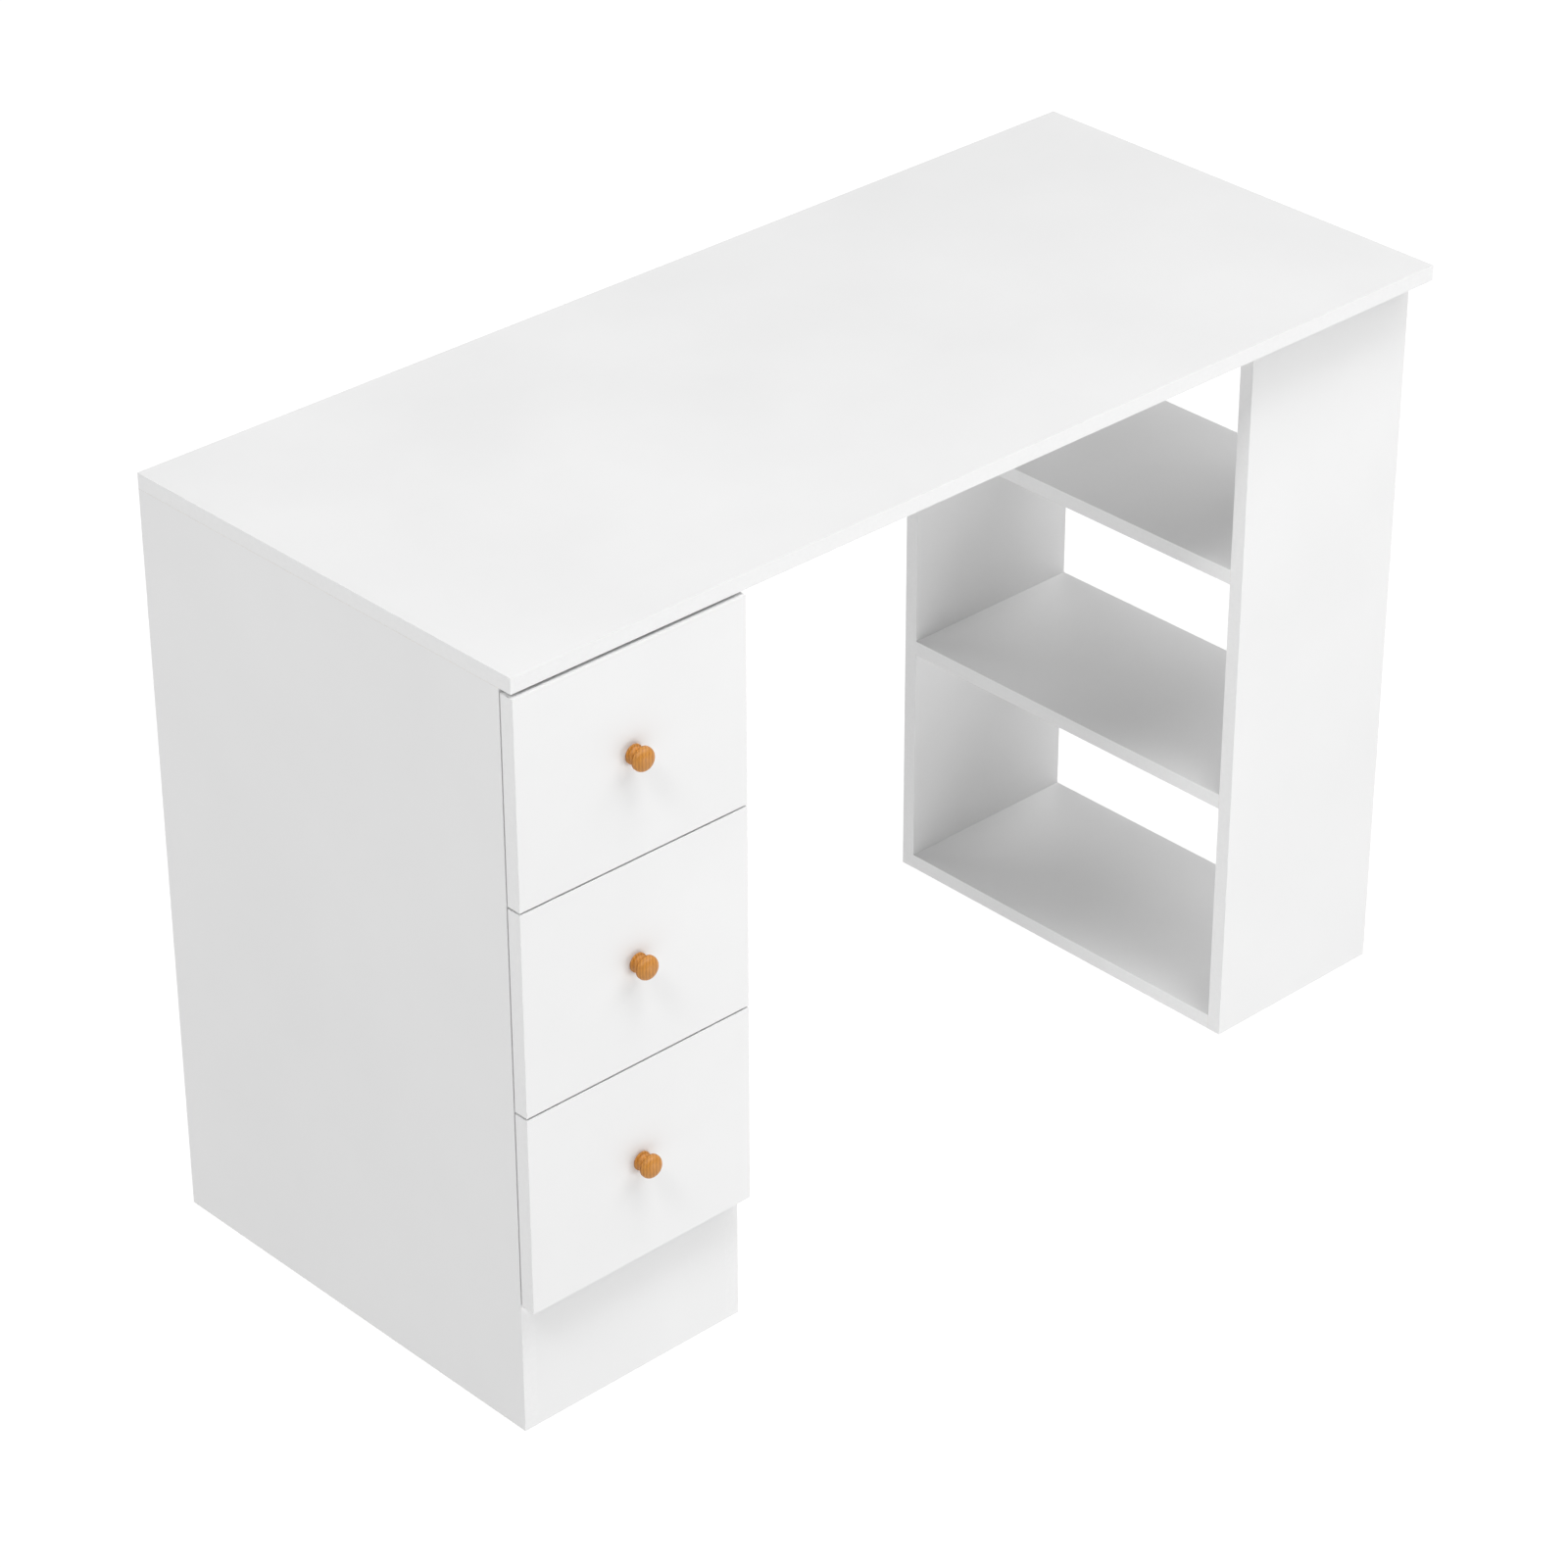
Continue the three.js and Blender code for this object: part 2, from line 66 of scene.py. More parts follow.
# ---- The view ------------------------------------------------------------------------------------
# A long lens on a high stand, off the desk's front left corner. It looks down over the top board and
# into the shelf unit, and is turned a hair off level.
VIEW_AZIMUTH = math.radians(-43.125)
VIEW_ELEVATION = math.radians(31.936)
VIEW_ROLL = math.radians(-0.138)
VIEW_DISTANCE = 4.6382
VIEW_TARGET_FROM_TOP = Vector((-0.0654, -0.0348, -0.4875))
SENSOR_MM = 36.0
LENS_MM = 116.91
VIEW_SHIFT = 0.0625

top_low, top_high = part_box("desktop")
top_centre = Vector(((top_low.x + top_high.x) / 2, (top_low.y + top_high.y) / 2, top_high.z))
towards_camera = Vector((
    math.sin(VIEW_AZIMUTH) * math.cos(VIEW_ELEVATION),
    -math.cos(VIEW_AZIMUTH) * math.cos(VIEW_ELEVATION),
    math.sin(VIEW_ELEVATION),
))
lens = bpy.data.cameras.new("view")
lens.sensor_width = SENSOR_MM
lens.lens = LENS_MM
lens.shift_y = VIEW_SHIFT
camera = bpy.data.objects.new("view", lens)
camera.rotation_mode = "QUATERNION"
camera.rotation_quaternion = (
    (-towards_camera).to_track_quat("-Z", "Y") @ Quaternion((0, 0, 1), VIEW_ROLL)
)
camera.location = top_centre + VIEW_TARGET_FROM_TOP + towards_camera * VIEW_DISTANCE
scene.collection.objects.link(camera)
scene.camera = camera


# ---- The studio ----------------------------------------------------------------------------------
# A seamless white floor with a pale wall all round it, under seven soft lights: two on the left, three
# in front, one on the right and one behind. None of it belongs to the desk.
MM = 0.001
FLOOR_RADIUS = 14.0
FLOOR_SIDES = 96
FLOOR_DROP = 0.3 * MM
FLOOR_GLOW = 1.0
WALL_GLOW = 0.45
WALL_TOP = 0.12  # the sine of the angle above the horizon where the wall starts to fade
CEILING_START = 0.22  # and of the one where it has faded to the dark ceiling
LIGHT_DISTANCE = 6.0
LOW_LIGHT_FROM_MIDDLE = Vector((0.1, -2.2, 0.2))  # from the floor under the desk's middle
LOW_LIGHT_AIM_HEIGHT = 0.05

floor_mesh = bmesh.new()
bmesh.ops.create_circle(floor_mesh, cap_ends=True, segments=FLOOR_SIDES, radius=FLOOR_RADIUS)
floor_data = bpy.data.meshes.new("floor")
floor_mesh.to_mesh(floor_data)
floor_mesh.free()
floor = bpy.data.objects.new("floor", floor_data)
floor.location.z = -FLOOR_DROP
scene.collection.objects.link(floor)


def linear(hex_colour):
    """An sRGB hex colour as the shader's linear one."""
    channels = [int(hex_colour[i:i + 2], 16) / 255 for i in (1, 3, 5)]
    return [c / 12.92 if c <= 0.04045 else ((c + 0.055) / 1.055) ** 2.4 for c in channels] + [1.0]


def add(material, kind, settings=None, links=None):
    """A new shader node. Settings go to its input sockets or its properties; links join its inputs."""
    node = material.node_tree.nodes.new("ShaderNode" + kind)
    for name, value in (settings or {}).items():
        if name in node.inputs:
            node.inputs[name].default_value = value
        elif name == "ramp":
            for element, (place, colour) in zip(node.color_ramp.elements, value):
                element.position = place
                element.color = colour
        else:
            setattr(node, name, value)
    for name, output in (links or {}).items():
        material.node_tree.links.new(output, node.inputs[name])
    return node


def new_material(name):
    """A material with no nodes yet."""
    material = bpy.data.materials.new(name)
    material.use_nodes = True
    material.node_tree.nodes.clear()
    return material


def surface(material, settings, links):
    """The finish itself: a Principled shader wired to the material's output."""
    shader = add(material, "BsdfPrincipled", settings, links)
    add(material, "OutputMaterial", {}, {"Surface": shader.outputs["BSDF"]})
    return material


def lit_floor():
    """A back-lit white floor: it glows, so that no shadow shows on it, and has a faint mottle."""
    material = new_material("back_lit_white_floor")
    place = add(material, "TexCoord")
    mottle = add(material, "TexNoise", {"Scale": 3.0, "Detail": 2.0}, {"Vector": place.outputs["Object"]})
    tone = add(
        material, "ValToRGB",
        {"ramp": [(0.3, linear("#3E3E3E")), (0.7, linear("#424242"))]},
        {"Fac": mottle.outputs["Fac"]},
    )
    settings = {"Roughness": 0.9, "Emission Color": linear("#FFFFFF"), "Emission Strength": FLOOR_GLOW}
    return surface(material, settings, {"Base Color": tone.outputs["Color"]})


floor.data.materials.append(lit_floor())

surroundings = bpy.data.worlds.new("wall_and_ceiling")
surroundings.use_nodes = True
direction = add(surroundings, "TexCoord")
height = add(surroundings, "SeparateXYZ", {}, {"Vector": direction.outputs["Generated"]})
fade = add(
    surroundings, "ValToRGB",
    {"ramp": [(WALL_TOP, linear("#FFFFFF")), (CEILING_START, linear("#000000"))]},
    {"Fac": height.outputs["Z"]},
)
wall = surroundings.node_tree.nodes["Background"]
wall.inputs["Strength"].default_value = WALL_GLOW
surroundings.node_tree.links.new(fade.outputs["Color"], wall.inputs["Color"])
scene.world = surroundings

desk_middle = Vector((top_centre.x, top_centre.y, top_centre.z / 2))


def soft_light(name, size, power, place, aim=desk_middle):
    """A round softbox that lights the desk, but isn't seen itself."""
    lamp = bpy.data.lights.new(name, "AREA")
    lamp.shape = "DISK"
    lamp.size = size
    lamp.energy = power
    light = bpy.data.objects.new(name, lamp)
    light.location = place
    light.rotation_mode = "QUATERNION"
    light.rotation_quaternion = (aim - place).to_track_quat("-Z", "Y")
    light.visible_camera = False
    scene.collection.objects.link(light)


def around(azimuth, elevation):
    """A light's place. Azimuth 0 is in front of the desk and 90 to its right; elevation 90 is overhead."""
    azimuth, elevation = math.radians(azimuth), math.radians(elevation)
    level = math.cos(elevation)
    direction = Vector((math.sin(azimuth) * level, -math.cos(azimuth) * level, math.sin(elevation)))
    return desk_middle + direction * LIGHT_DISTANCE


soft_light("left_key", 1.2, 100.0, around(-68, 50))
soft_light("left_fill", 4.0, 50.0, around(-90, 30))
soft_light("front_key", 4.0, 150.0, around(40, 52))
soft_light("high_front", 2.0, 111.0, around(0, 72))
soft_light("right_fill", 4.0, 69.0, around(90, 35))
soft_light("back_fill", 4.0, 80.0, around(180, 50))
floor_middle = Vector((top_centre.x, top_centre.y, 0))
low_aim = floor_middle + Vector((0, 0, LOW_LIGHT_AIM_HEIGHT))
soft_light("low_front", 0.9, 12.0, floor_middle + LOW_LIGHT_FROM_MIDDLE, low_aim)


# ---- Boards --------------------------------------------------------------------------------------
# Chipboard with a white melamine skin on both faces, sawn to size and edged with ABS band ironed on
# where an edge shows. Hidden edges are left raw. The band's corners are scraped to a small radius.
EDGING_RADIUS = 0.15 * MM
ROUNDING_STEPS = 3
SMOOTH_ANGLE = math.radians(40)  # a mesh is shaded smooth over edges that turn by less
FLAT_ANGLE = math.radians(1)  # faces that turn by less are one
CORNER_ANGLE = 1.0  # radians; a board's corners turn by more
SAME_POINT = 1e-6  # metres
SAME_PLANE = 1e-5  # metres
SAME_DIRECTION = 0.999  # the cosine between two normals


def melamine():
    """Melamine film pressed on chipboard: even white, with the faint pearl texture of its press plate."""
    material = new_material("melamine_faced_chipboard")
    place = add(material, "TexCoord")
    # The real pearl is about 0.5 mm across, drawn at 2.5 mm so that it shows.
    pearl = add(
        material, "TexNoise",
        {"Scale": 1 / (2.5 * MM), "Detail": 2.0, "Roughness": 0.5},
        {"Vector": place.outputs["Object"]},
    )
    cloud = add(
        material, "TexNoise",
        {"Scale": 1 / (180 * MM), "Detail": 3.0, "Roughness": 0.55},
        {"Vector": place.outputs["Object"]},
    )
    tone = add(
        material, "ValToRGB",
        {"ramp": [(0.3, linear("#E3E3E3")), (0.7, linear("#E6E6E6"))]},
        {"Fac": cloud.outputs["Fac"]},
    )
    sheen = add(
        material, "MapRange",
        {"To Min": 0.34, "To Max": 0.44},
        {"Value": cloud.outputs["Fac"]},
    )
    relief = add(
        material, "Bump",
        {"Strength": 0.12, "Distance": 0.05 * MM},
        {"Height": pearl.outputs["Fac"]},
    )
    return surface(
        material, {"IOR": 1.5},
        {
            "Base Color": tone.outputs["Color"],
            "Roughness": sheen.outputs["Result"],
            "Normal": relief.outputs["Normal"],
        },
    )


def abs_edging():
    """Extruded ABS band: a touch glossier than the melamine, with faint lines along it from the scraper."""
    material = new_material("abs_edging")
    place = add(material, "TexCoord")
    lines = add(
        material, "TexNoise",
        {"Scale": 1 / (4 * MM), "Detail": 1.0},
        {"Vector": place.outputs["Object"]},
    )
    tone = add(
        material, "ValToRGB",
        {"ramp": [(0.3, linear("#E4E4E4")), (0.7, linear("#E6E6E6"))]},
        {"Fac": lines.outputs["Fac"]},
    )
    relief = add(
        material, "Bump",
        {"Strength": 0.04, "Distance": 0.05 * MM},
        {"Height": lines.outputs["Fac"]},
    )
    return surface(
        material, {"IOR": 1.53, "Roughness": 0.3},
        {"Base Color": tone.outputs["Color"], "Normal": relief.outputs["Normal"]},
    )


def raw_chipboard():
    """A sawn edge: pressed spruce chips, 1 to 4 mm long, from straw to bark brown, with resin between."""
    material = new_material("raw_chipboard")
    place = add(material, "TexCoord")
    chips = add(
        material, "TexVoronoi",
        {"Scale": 1 / (2.2 * MM), "Randomness": 1.0},
        {"Vector": place.outputs["Object"]},
    )
    split = add(material, "SeparateColor", {}, {"Color": chips.outputs["Color"]})
    tone = add(
        material, "ValToRGB",
        {"ramp": [(0.0, linear("#8E6A44")), (1.0, linear("#D9BE95"))]},
        {"Fac": split.outputs["Red"]},
    )
    relief = add(
        material, "Bump",
        {"Strength": 0.5, "Distance": 0.3 * MM},
        {"Height": chips.outputs["Distance"]},
    )
    return surface(
        material, {"Roughness": 0.85},
        {"Base Color": tone.outputs["Color"], "Normal": relief.outputs["Normal"]},
    )


MELAMINE = melamine()
EDGING = abs_edging()
RAW = raw_chipboard()
SKIN_INDEX, BAND_INDEX, RAW_INDEX = range(3)  # the order of a board's materials
SIDES = {
    "-X": Vector((-1, 0, 0)), "+X": Vector((1, 0, 0)),
    "-Y": Vector((0, -1, 0)), "+Y": Vector((0, 1, 0)),
    "-Z": Vector((0, 0, -1)), "+Z": Vector((0, 0, 1)),
}


def piece(name, mesh, materials, body):
    """A named piece from a bmesh, smooth where it is rounded, that rides on a body."""
    for edge in mesh.edges:
        edge.smooth = len(edge.link_faces) == 2 and edge.calc_face_angle(0) < SMOOTH_ANGLE
    for face in mesh.faces:
        face.smooth = True
    data = bpy.data.meshes.new(name)
    mesh.to_mesh(data)
    mesh.free()
    for material in materials:
        data.materials.append(material)
    made = bpy.data.objects.new(name, data)
    scene.collection.objects.link(made)
    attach(made, body)
    return made


def body_of(node):
    """The body that a CAD node moves with."""
    return frame["nodes"][node]["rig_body"]


def whole_faces(node):
    """A CAD node's mesh, with each flat face in one piece."""
    mesh = bmesh.new()
    mesh.from_mesh(frame["nodes"][node].data)
    bmesh.ops.remove_doubles(mesh, verts=mesh.verts, dist=SAME_POINT)
    bmesh.ops.dissolve_limit(mesh, angle_limit=FLAT_ANGLE, verts=mesh.verts, edges=mesh.edges)
    return mesh


def side_of(face, low, high):
    """Which side of the box between low and high a face lies on, or None for one inside it."""
    for side, normal in SIDES.items():
        if face.normal.dot(normal) > SAME_DIRECTION:
            corner = high if side[0] == "+" else low
            if abs((face.calc_center_median() - corner).dot(normal)) < SAME_PLANE:
                return side
    return None


def board(
    node, banded, skin=MELAMINE, band=EDGING, radius=EDGING_RADIUS, square=(),
):
    """A board with its skin on the two large sides, bands on the sides named, and the rest raw.

    A banded side's corners are rounded, but for those it has with a side that is to stay square.
    """
    low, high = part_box(node)
    thin = min(range(3), key=lambda axis: high[axis] - low[axis])
    mesh = whole_faces(node)
    sides = {face: side_of(face, low, high) for face in mesh.faces}
    for face, side in sides.items():
        face.material_index = RAW_INDEX
        if side and "XYZ".index(side[1]) == thin:
            face.material_index = SKIN_INDEX
        elif side in banded:
            face.material_index = BAND_INDEX
    rounded_edges = [
        edge for edge in mesh.edges
        if len(edge.link_faces) == 2
        and edge.calc_face_angle(0) > CORNER_ANGLE
        and all(sides[face] for face in edge.link_faces)
        and any(sides[face] in banded for face in edge.link_faces)
        and not any(sides[face] in square for face in edge.link_faces)
        and all(face.material_index != RAW_INDEX for face in edge.link_faces)
    ]
    bmesh.ops.bevel(
        mesh, geom=rounded_edges, offset=radius, segments=ROUNDING_STEPS, profile=0.5, affect="EDGES",
        clamp_overlap=True, material=-1,
    )
    made = piece(node + "_board", mesh, [skin, band, RAW], body_of(node))
    made.modifiers.new("flat_faces", "WEIGHTED_NORMAL").keep_sharp = True
    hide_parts(node)


ALL_ROUND = ("-X", "+X", "-Y", "+Y")
board("desktop", ALL_ROUND)
board("cabinet_side_outer", ("-Y", "+Y"), square=("+X",))
board("cabinet_side_inner", ("-Y", "+Y"), square=("-X",))
board("cabinet_bottom", ("-Y",))
for name in ("plinth_front", "plinth_rear"):
    board(name, ())
SHELVES = ("shelf_bottom", "shelf_middle", "shelf_upper")
for name in ("shelf_unit_front_panel", "shelf_unit_rear_panel") + SHELVES:
    board(name, ("-X", "+X"))
board("rear_stretcher", ("-Z",))
DRAWERS = ("lower", "middle", "upper")
for drawer in DRAWERS:
    board(drawer + "_drawer_front", ("-X", "+X", "-Z", "+Z"))


# ---- Hardboard -----------------------------------------------------------------------------------
# The cabinet's back and the drawers' bottoms: 3 mm wet-pressed fibreboard that slides in grooves, lacquered
# white on the side that shows and bare behind. The back's lower edge is nailed to the cabinet bottom.
HARDBOARD_ARRIS = 0.25 * MM


def bands_apart(spacing):
    """The Scale of a wave texture whose bands are that far apart."""
    return math.pi / 10 / spacing


def lacquered_hardboard():
    """White lacquer rolled on a smooth face: it fills the fibres, but leaves a faint long ripple."""
    material = new_material("white_lacquered_hardboard")
    place = add(material, "TexCoord")
    ripple = add(
        material, "TexNoise",
        {"Scale": 1 / (6 * MM), "Detail": 3.0, "Roughness": 0.6},
        {"Vector": place.outputs["Object"]},
    )
    tone = add(
        material, "ValToRGB",
        {"ramp": [(0.3, linear("#DAD8D6")), (0.7, linear("#E2E0DE"))]},
        {"Fac": ripple.outputs["Fac"]},
    )
    relief = add(
        material, "Bump",
        {"Strength": 0.2, "Distance": 0.1 * MM},
        {"Height": ripple.outputs["Fac"]},
    )
    return surface(
        material, {"IOR": 1.5, "Roughness": 0.42},
        {"Base Color": tone.outputs["Color"], "Normal": relief.outputs["Normal"]},
    )


def bare_hardboard():
    """The screen side: felted wood fibres, tobacco brown, with the print of a wire screen in them."""
    material = new_material("bare_hardboard")
    place = add(material, "TexCoord")
    fibres = add(
        material, "TexNoise",
        {"Scale": 1 / (5 * MM), "Detail": 8.0, "Roughness": 0.7, "Distortion": 1.5},
        {"Vector": place.outputs["Object"]},
    )
    tone = add(
        material, "ValToRGB",
        {"ramp": [(0.3, linear("#6F4E33")), (0.7, linear("#9B7650"))]},
        {"Fac": fibres.outputs["Fac"]},
    )
    # The real wires are 1.5 mm apart, drawn 4 mm apart so that they show. A sheet lies across Y or across
    # Z, so Y and Z together are its second direction.
    axes = add(material, "SeparateXYZ", {}, {"Vector": place.outputs["Object"]})
    second = add(material, "Math", {"operation": "ADD"}, {0: axes.outputs["Y"], 1: axes.outputs["Z"]})
    across = add(material, "CombineXYZ", {}, {"X": second.outputs["Value"]})
    wires = {"Scale": bands_apart(4 * MM), "Distortion": 0.4}
    warp = add(material, "TexWave", wires, {"Vector": place.outputs["Object"]})
    weft = add(material, "TexWave", wires, {"Vector": across.outputs["Vector"]})
    both = {0: warp.outputs["Fac"], 1: weft.outputs["Fac"]}
    screen = add(material, "Math", {"operation": "MULTIPLY"}, both)
    relief = add(
        material, "Bump",
        {"Strength": 0.6, "Distance": 0.3 * MM},
        {"Height": screen.outputs["Value"]},
    )
    return surface(
        material, {"Roughness": 0.8},
        {"Base Color": tone.outputs["Color"], "Normal": relief.outputs["Normal"]},
    )


LACQUERED = lacquered_hardboard()
BARE = bare_hardboard()
LACQUERED_INDEX, BARE_INDEX = range(2)  # the order of a sheet's materials


def hardboard(node, lacquered_side):
    """A sheet with its sawn edges just broken."""
    low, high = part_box(node)
    mesh = whole_faces(node)
    for face in mesh.faces:
        lacquered = side_of(face, low, high) == lacquered_side
        face.material_index = LACQUERED_INDEX if lacquered else BARE_INDEX
    bmesh.ops.bevel(
        mesh, geom=list(mesh.edges), offset=HARDBOARD_ARRIS, segments=1, affect="EDGES",
        material=BARE_INDEX,
    )
    made = piece(node + "_sheet", mesh, [LACQUERED, BARE], body_of(node))
    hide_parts(node)


hardboard("cabinet_back", "-Y")
for drawer in DRAWERS:
    hardboard(drawer + "_drawer_bottom", "+Z")


# ---- Drawer boxes --------------------------------------------------------------------------------
# Two sides and a back of 12 mm chipboard, wrapped in white PVC foil that goes round their rounded long
# edges. The groove for the bottom and the sawn ends show the chips.
FOIL_RADIUS = 2.5 * MM


def wrapping_foil():
    """PVC foil over chipboard: satin, with a shallow pore embossed along it and slow waves in its sheen."""
    material = new_material("pvc_wrapping_foil")
    place = add(material, "TexCoord")
    # The pores run along Y, as the sides do: 1.2 mm apart, and about ten times as long.
    along = add(material, "Mapping", {"Scale": (1.0, 0.1, 1.0)}, {"Vector": place.outputs["Object"]})
    pores = add(
        material, "TexNoise",
        {"Scale": 1 / (1.2 * MM), "Detail": 2.0},
        {"Vector": along.outputs["Vector"]},
    )
    waves = add(
        material, "TexNoise",
        {"Scale": 1 / (60 * MM), "Detail": 2.0},
        {"Vector": place.outputs["Object"]},
    )
    tone = add(
        material, "ValToRGB",
        {"ramp": [(0.3, linear("#DDDCDB")), (0.7, linear("#E3E2E1"))]},
        {"Fac": pores.outputs["Fac"]},
    )
    sheen = add(material, "MapRange", {"To Min": 0.36, "To Max": 0.5}, {"Value": waves.outputs["Fac"]})
    relief = add(
        material, "Bump",
        {"Strength": 0.25, "Distance": 0.08 * MM},
        {"Height": pores.outputs["Fac"]},
    )
    return surface(
        material, {"IOR": 1.53},
        {
            "Base Color": tone.outputs["Color"],
            "Roughness": sheen.outputs["Result"],
            "Normal": relief.outputs["Normal"],
        },
    )


FOIL = wrapping_foil()
for drawer in DRAWERS:
    for name in ("_drawer_side_left", "_drawer_side_right", "_drawer_back"):
        board(drawer + name, ("-Z", "+Z"), FOIL, FOIL, FOIL_RADIUS)


# ---- Runners -------------------------------------------------------------------------------------
# White epoxy-coated steel strip, rolled to a C channel that is screwed to the cabinet's side, and to a
# rail with a ledge under the drawer's side and a running flange. Each has a riveted pin for its roller.
STRIP = 1.25 * MM
BEND_RADIUS = 0.8 * MM  # inside
BEND_STEPS = 5
CHANNEL_WIDTH = 10 * MM
FLANGE_FROM_WALL = 2.75 * MM
FLANGE_TO_ROLLER = 2 * MM
PIN_PROFILE = [  # radius, distance from the web's face, in mm
    (0.0, -0.6), (3.0, -0.6), (3.0, 1.5), (2.0, 1.5), (2.0, 8.0), (2.7, 8.0), (3.0, 8.3), (2.8, 8.7),
    (1.6, 8.95), (0.0, 9.0),
]
SLOT_RADIUS = 2.2 * MM
SLOT_LENGTH = 7 * MM  # between its ends' centres
SLOT_END_STEPS = 8
FIRST_SLOT = 37 * MM
SLOT_PITCH = 64 * MM
SLOTS = 6
SCREWED_SLOTS = (0, 2, 5)
PIN_SIDES = 24


def epoxy_coated_steel():
    """Powder melted to a thick white skin, rounded over the edges, with its fine orange peel."""
    material = new_material("epoxy_coated_steel")
    place = add(material, "TexCoord")
    # The real peel is 0.8 mm across, drawn at 2 mm so that it shows.
    peel = add(
        material, "TexNoise",
        {"Scale": 1 / (2 * MM), "Detail": 1.0},
        {"Vector": place.outputs["Object"]},
    )
    tone = add(
        material, "ValToRGB",
        {"ramp": [(0.3, linear("#DEDDDB")), (0.7, linear("#E6E5E3"))]},
        {"Fac": peel.outputs["Fac"]},
    )
    relief = add(
        material, "Bump",
        {"Strength": 0.3, "Distance": 0.1 * MM},
        {"Height": peel.outputs["Fac"]},
    )
    return surface(
        material, {"IOR": 1.55, "Roughness": 0.28},
        {"Base Color": tone.outputs["Color"], "Normal": relief.outputs["Normal"]},
    )


def folded(corners):
    """The closed outline of a strip bent square at each corner of its middle line."""
    middle_radius = BEND_RADIUS + STRIP / 2
    corners = [Vector(corner) for corner in corners]
    headings = [(after - before).normalized() for before, after in zip(corners, corners[1:])]
    line = [(corners[0], headings[0])]
    for corner, arriving, leaving in zip(corners[1:], headings, headings[1:]):
        start = corner - arriving * middle_radius
        for step in range(BEND_STEPS + 1):
            turn = math.pi / 2 * step / BEND_STEPS
            ahead, aside = math.sin(turn), 1 - math.cos(turn)
            point = start + (arriving * ahead + leaving * aside) * middle_radius
            line.append((point, arriving * math.cos(turn) + leaving * math.sin(turn)))
    line.append((corners[-1], headings[-1]))
    left = [point + heading.orthogonal() * STRIP / 2 for point, heading in line]
    right = [point - heading.orthogonal() * STRIP / 2 for point, heading in line]
    return left + right[::-1]


def rolled(outline, y_from, y_to):
    """A strip's (x, z) outline run along Y, as a closed mesh."""
    mesh = bmesh.new()
    ends = [[mesh.verts.new((x, y, z)) for x, z in outline] for y in (y_from, y_to)]
    for i in range(len(outline)):
        mesh.faces.new((ends[0][i - 1], ends[0][i], ends[1][i], ends[1][i - 1]))
    for end in ends:
        mesh.faces.new(end)
    bmesh.ops.recalc_face_normals(mesh, faces=mesh.faces)
    return mesh


def turned(profile, sides):
    """A mesh turned about its own +Z from (radius, height) points.

    A profile that starts off the axis is closed on itself.
    """
    mesh = bmesh.new()
    rings = []
    for radius, height in profile:
        angles = [2 * math.pi * i / sides for i in range(sides)] if radius > 0 else [0.0]
        rings.append([
            mesh.verts.new((radius * math.cos(angle), radius * math.sin(angle), height)) for angle in angles
        ])
    steps = list(zip(rings, rings[1:]))
    if profile[0][0] > 0:
        steps.append((rings[-1], rings[0]))
    for near, far in steps:
        for i in range(sides):
            corners = [near[i % len(near)], near[(i + 1) % sides % len(near)]]
            corners += [far[(i + 1) % sides % len(far)], far[i % len(far)]]
            mesh.faces.new(dict.fromkeys(corners))
    bmesh.ops.recalc_face_normals(mesh, faces=mesh.faces)
    return mesh


def turned_mm(profile, sides):
    """The same from a profile in millimetres."""
    return turned([(radius * MM, height * MM) for radius, height in profile], sides)


def facing(direction, point):
    """The place of a fastener or other small part: its +Z along the direction, its origin at the point."""
    return Matrix.Translation(point) @ Vector(direction).to_track_quat("Z", "Y").to_matrix().to_4x4()


def joined(mesh, model, places):
    """Copies of a small mesh, one at each place, added to another."""
    for place in places:
        copy = model.copy()
        copy.transform(place)
        data = bpy.data.meshes.new("copy")
        copy.to_mesh(data)
        copy.free()
        mesh.from_mesh(data)
        bpy.data.meshes.remove(data)
    return mesh


def cut_away(mesh, tool):
    """The first closed mesh less the second."""
    objects = []
    for part in (mesh, tool):
        data = bpy.data.meshes.new("cut")
        part.to_mesh(data)
        part.free()
        objects.append(bpy.data.objects.new("cut", data))
        scene.collection.objects.link(objects[-1])
    boolean = objects[0].modifiers.new("cut", "BOOLEAN")
    boolean.object = objects[1]
    left = bmesh.new()
    left.from_object(objects[0], bpy.context.evaluated_depsgraph_get())
    for used in objects:
        bpy.data.meshes.remove(used.data)
    return left


def slot_cutter(x_from, x_to, places, z):
    """What cuts round-ended slots along Y in a web, one at each y."""
    mesh = bmesh.new()
    for y in places:
        outline = []
        for end, first in ((SLOT_LENGTH / 2, -90), (-SLOT_LENGTH / 2, 90)):
            for step in range(SLOT_END_STEPS + 1):
                angle = math.radians(first + 180 * step / SLOT_END_STEPS)
                along, up = SLOT_RADIUS * math.cos(angle), SLOT_RADIUS * math.sin(angle)
                outline.append((y + end + along, z + up))
        ends = [[mesh.verts.new((x, *corner)) for corner in outline] for x in (x_from, x_to)]
        for i in range(len(outline)):
            mesh.faces.new((ends[0][i - 1], ends[0][i], ends[1][i], ends[1][i - 1]))
        for end in ends:
            mesh.faces.new(end)
    bmesh.ops.recalc_face_normals(mesh, faces=mesh.faces)
    return mesh


def block(low, high):
    """A closed box between two corners, low and high."""
    low, high = Vector(low), Vector(high)
    mesh = bmesh.new()
    bmesh.ops.create_cube(mesh, size=1.0)
    mesh.transform(Matrix.Translation((low + high) / 2) @ Matrix.Diagonal((*(high - low), 1)))
    return mesh


EPOXY = epoxy_coated_steel()
# The inner faces of the cabinet's sides, and which way along X is into the cabinet.
WALL = {"left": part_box("cabinet_side_outer")[1].x, "right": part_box("cabinet_side_inner")[0].x}
INWARD = {"left": 1, "right": -1}


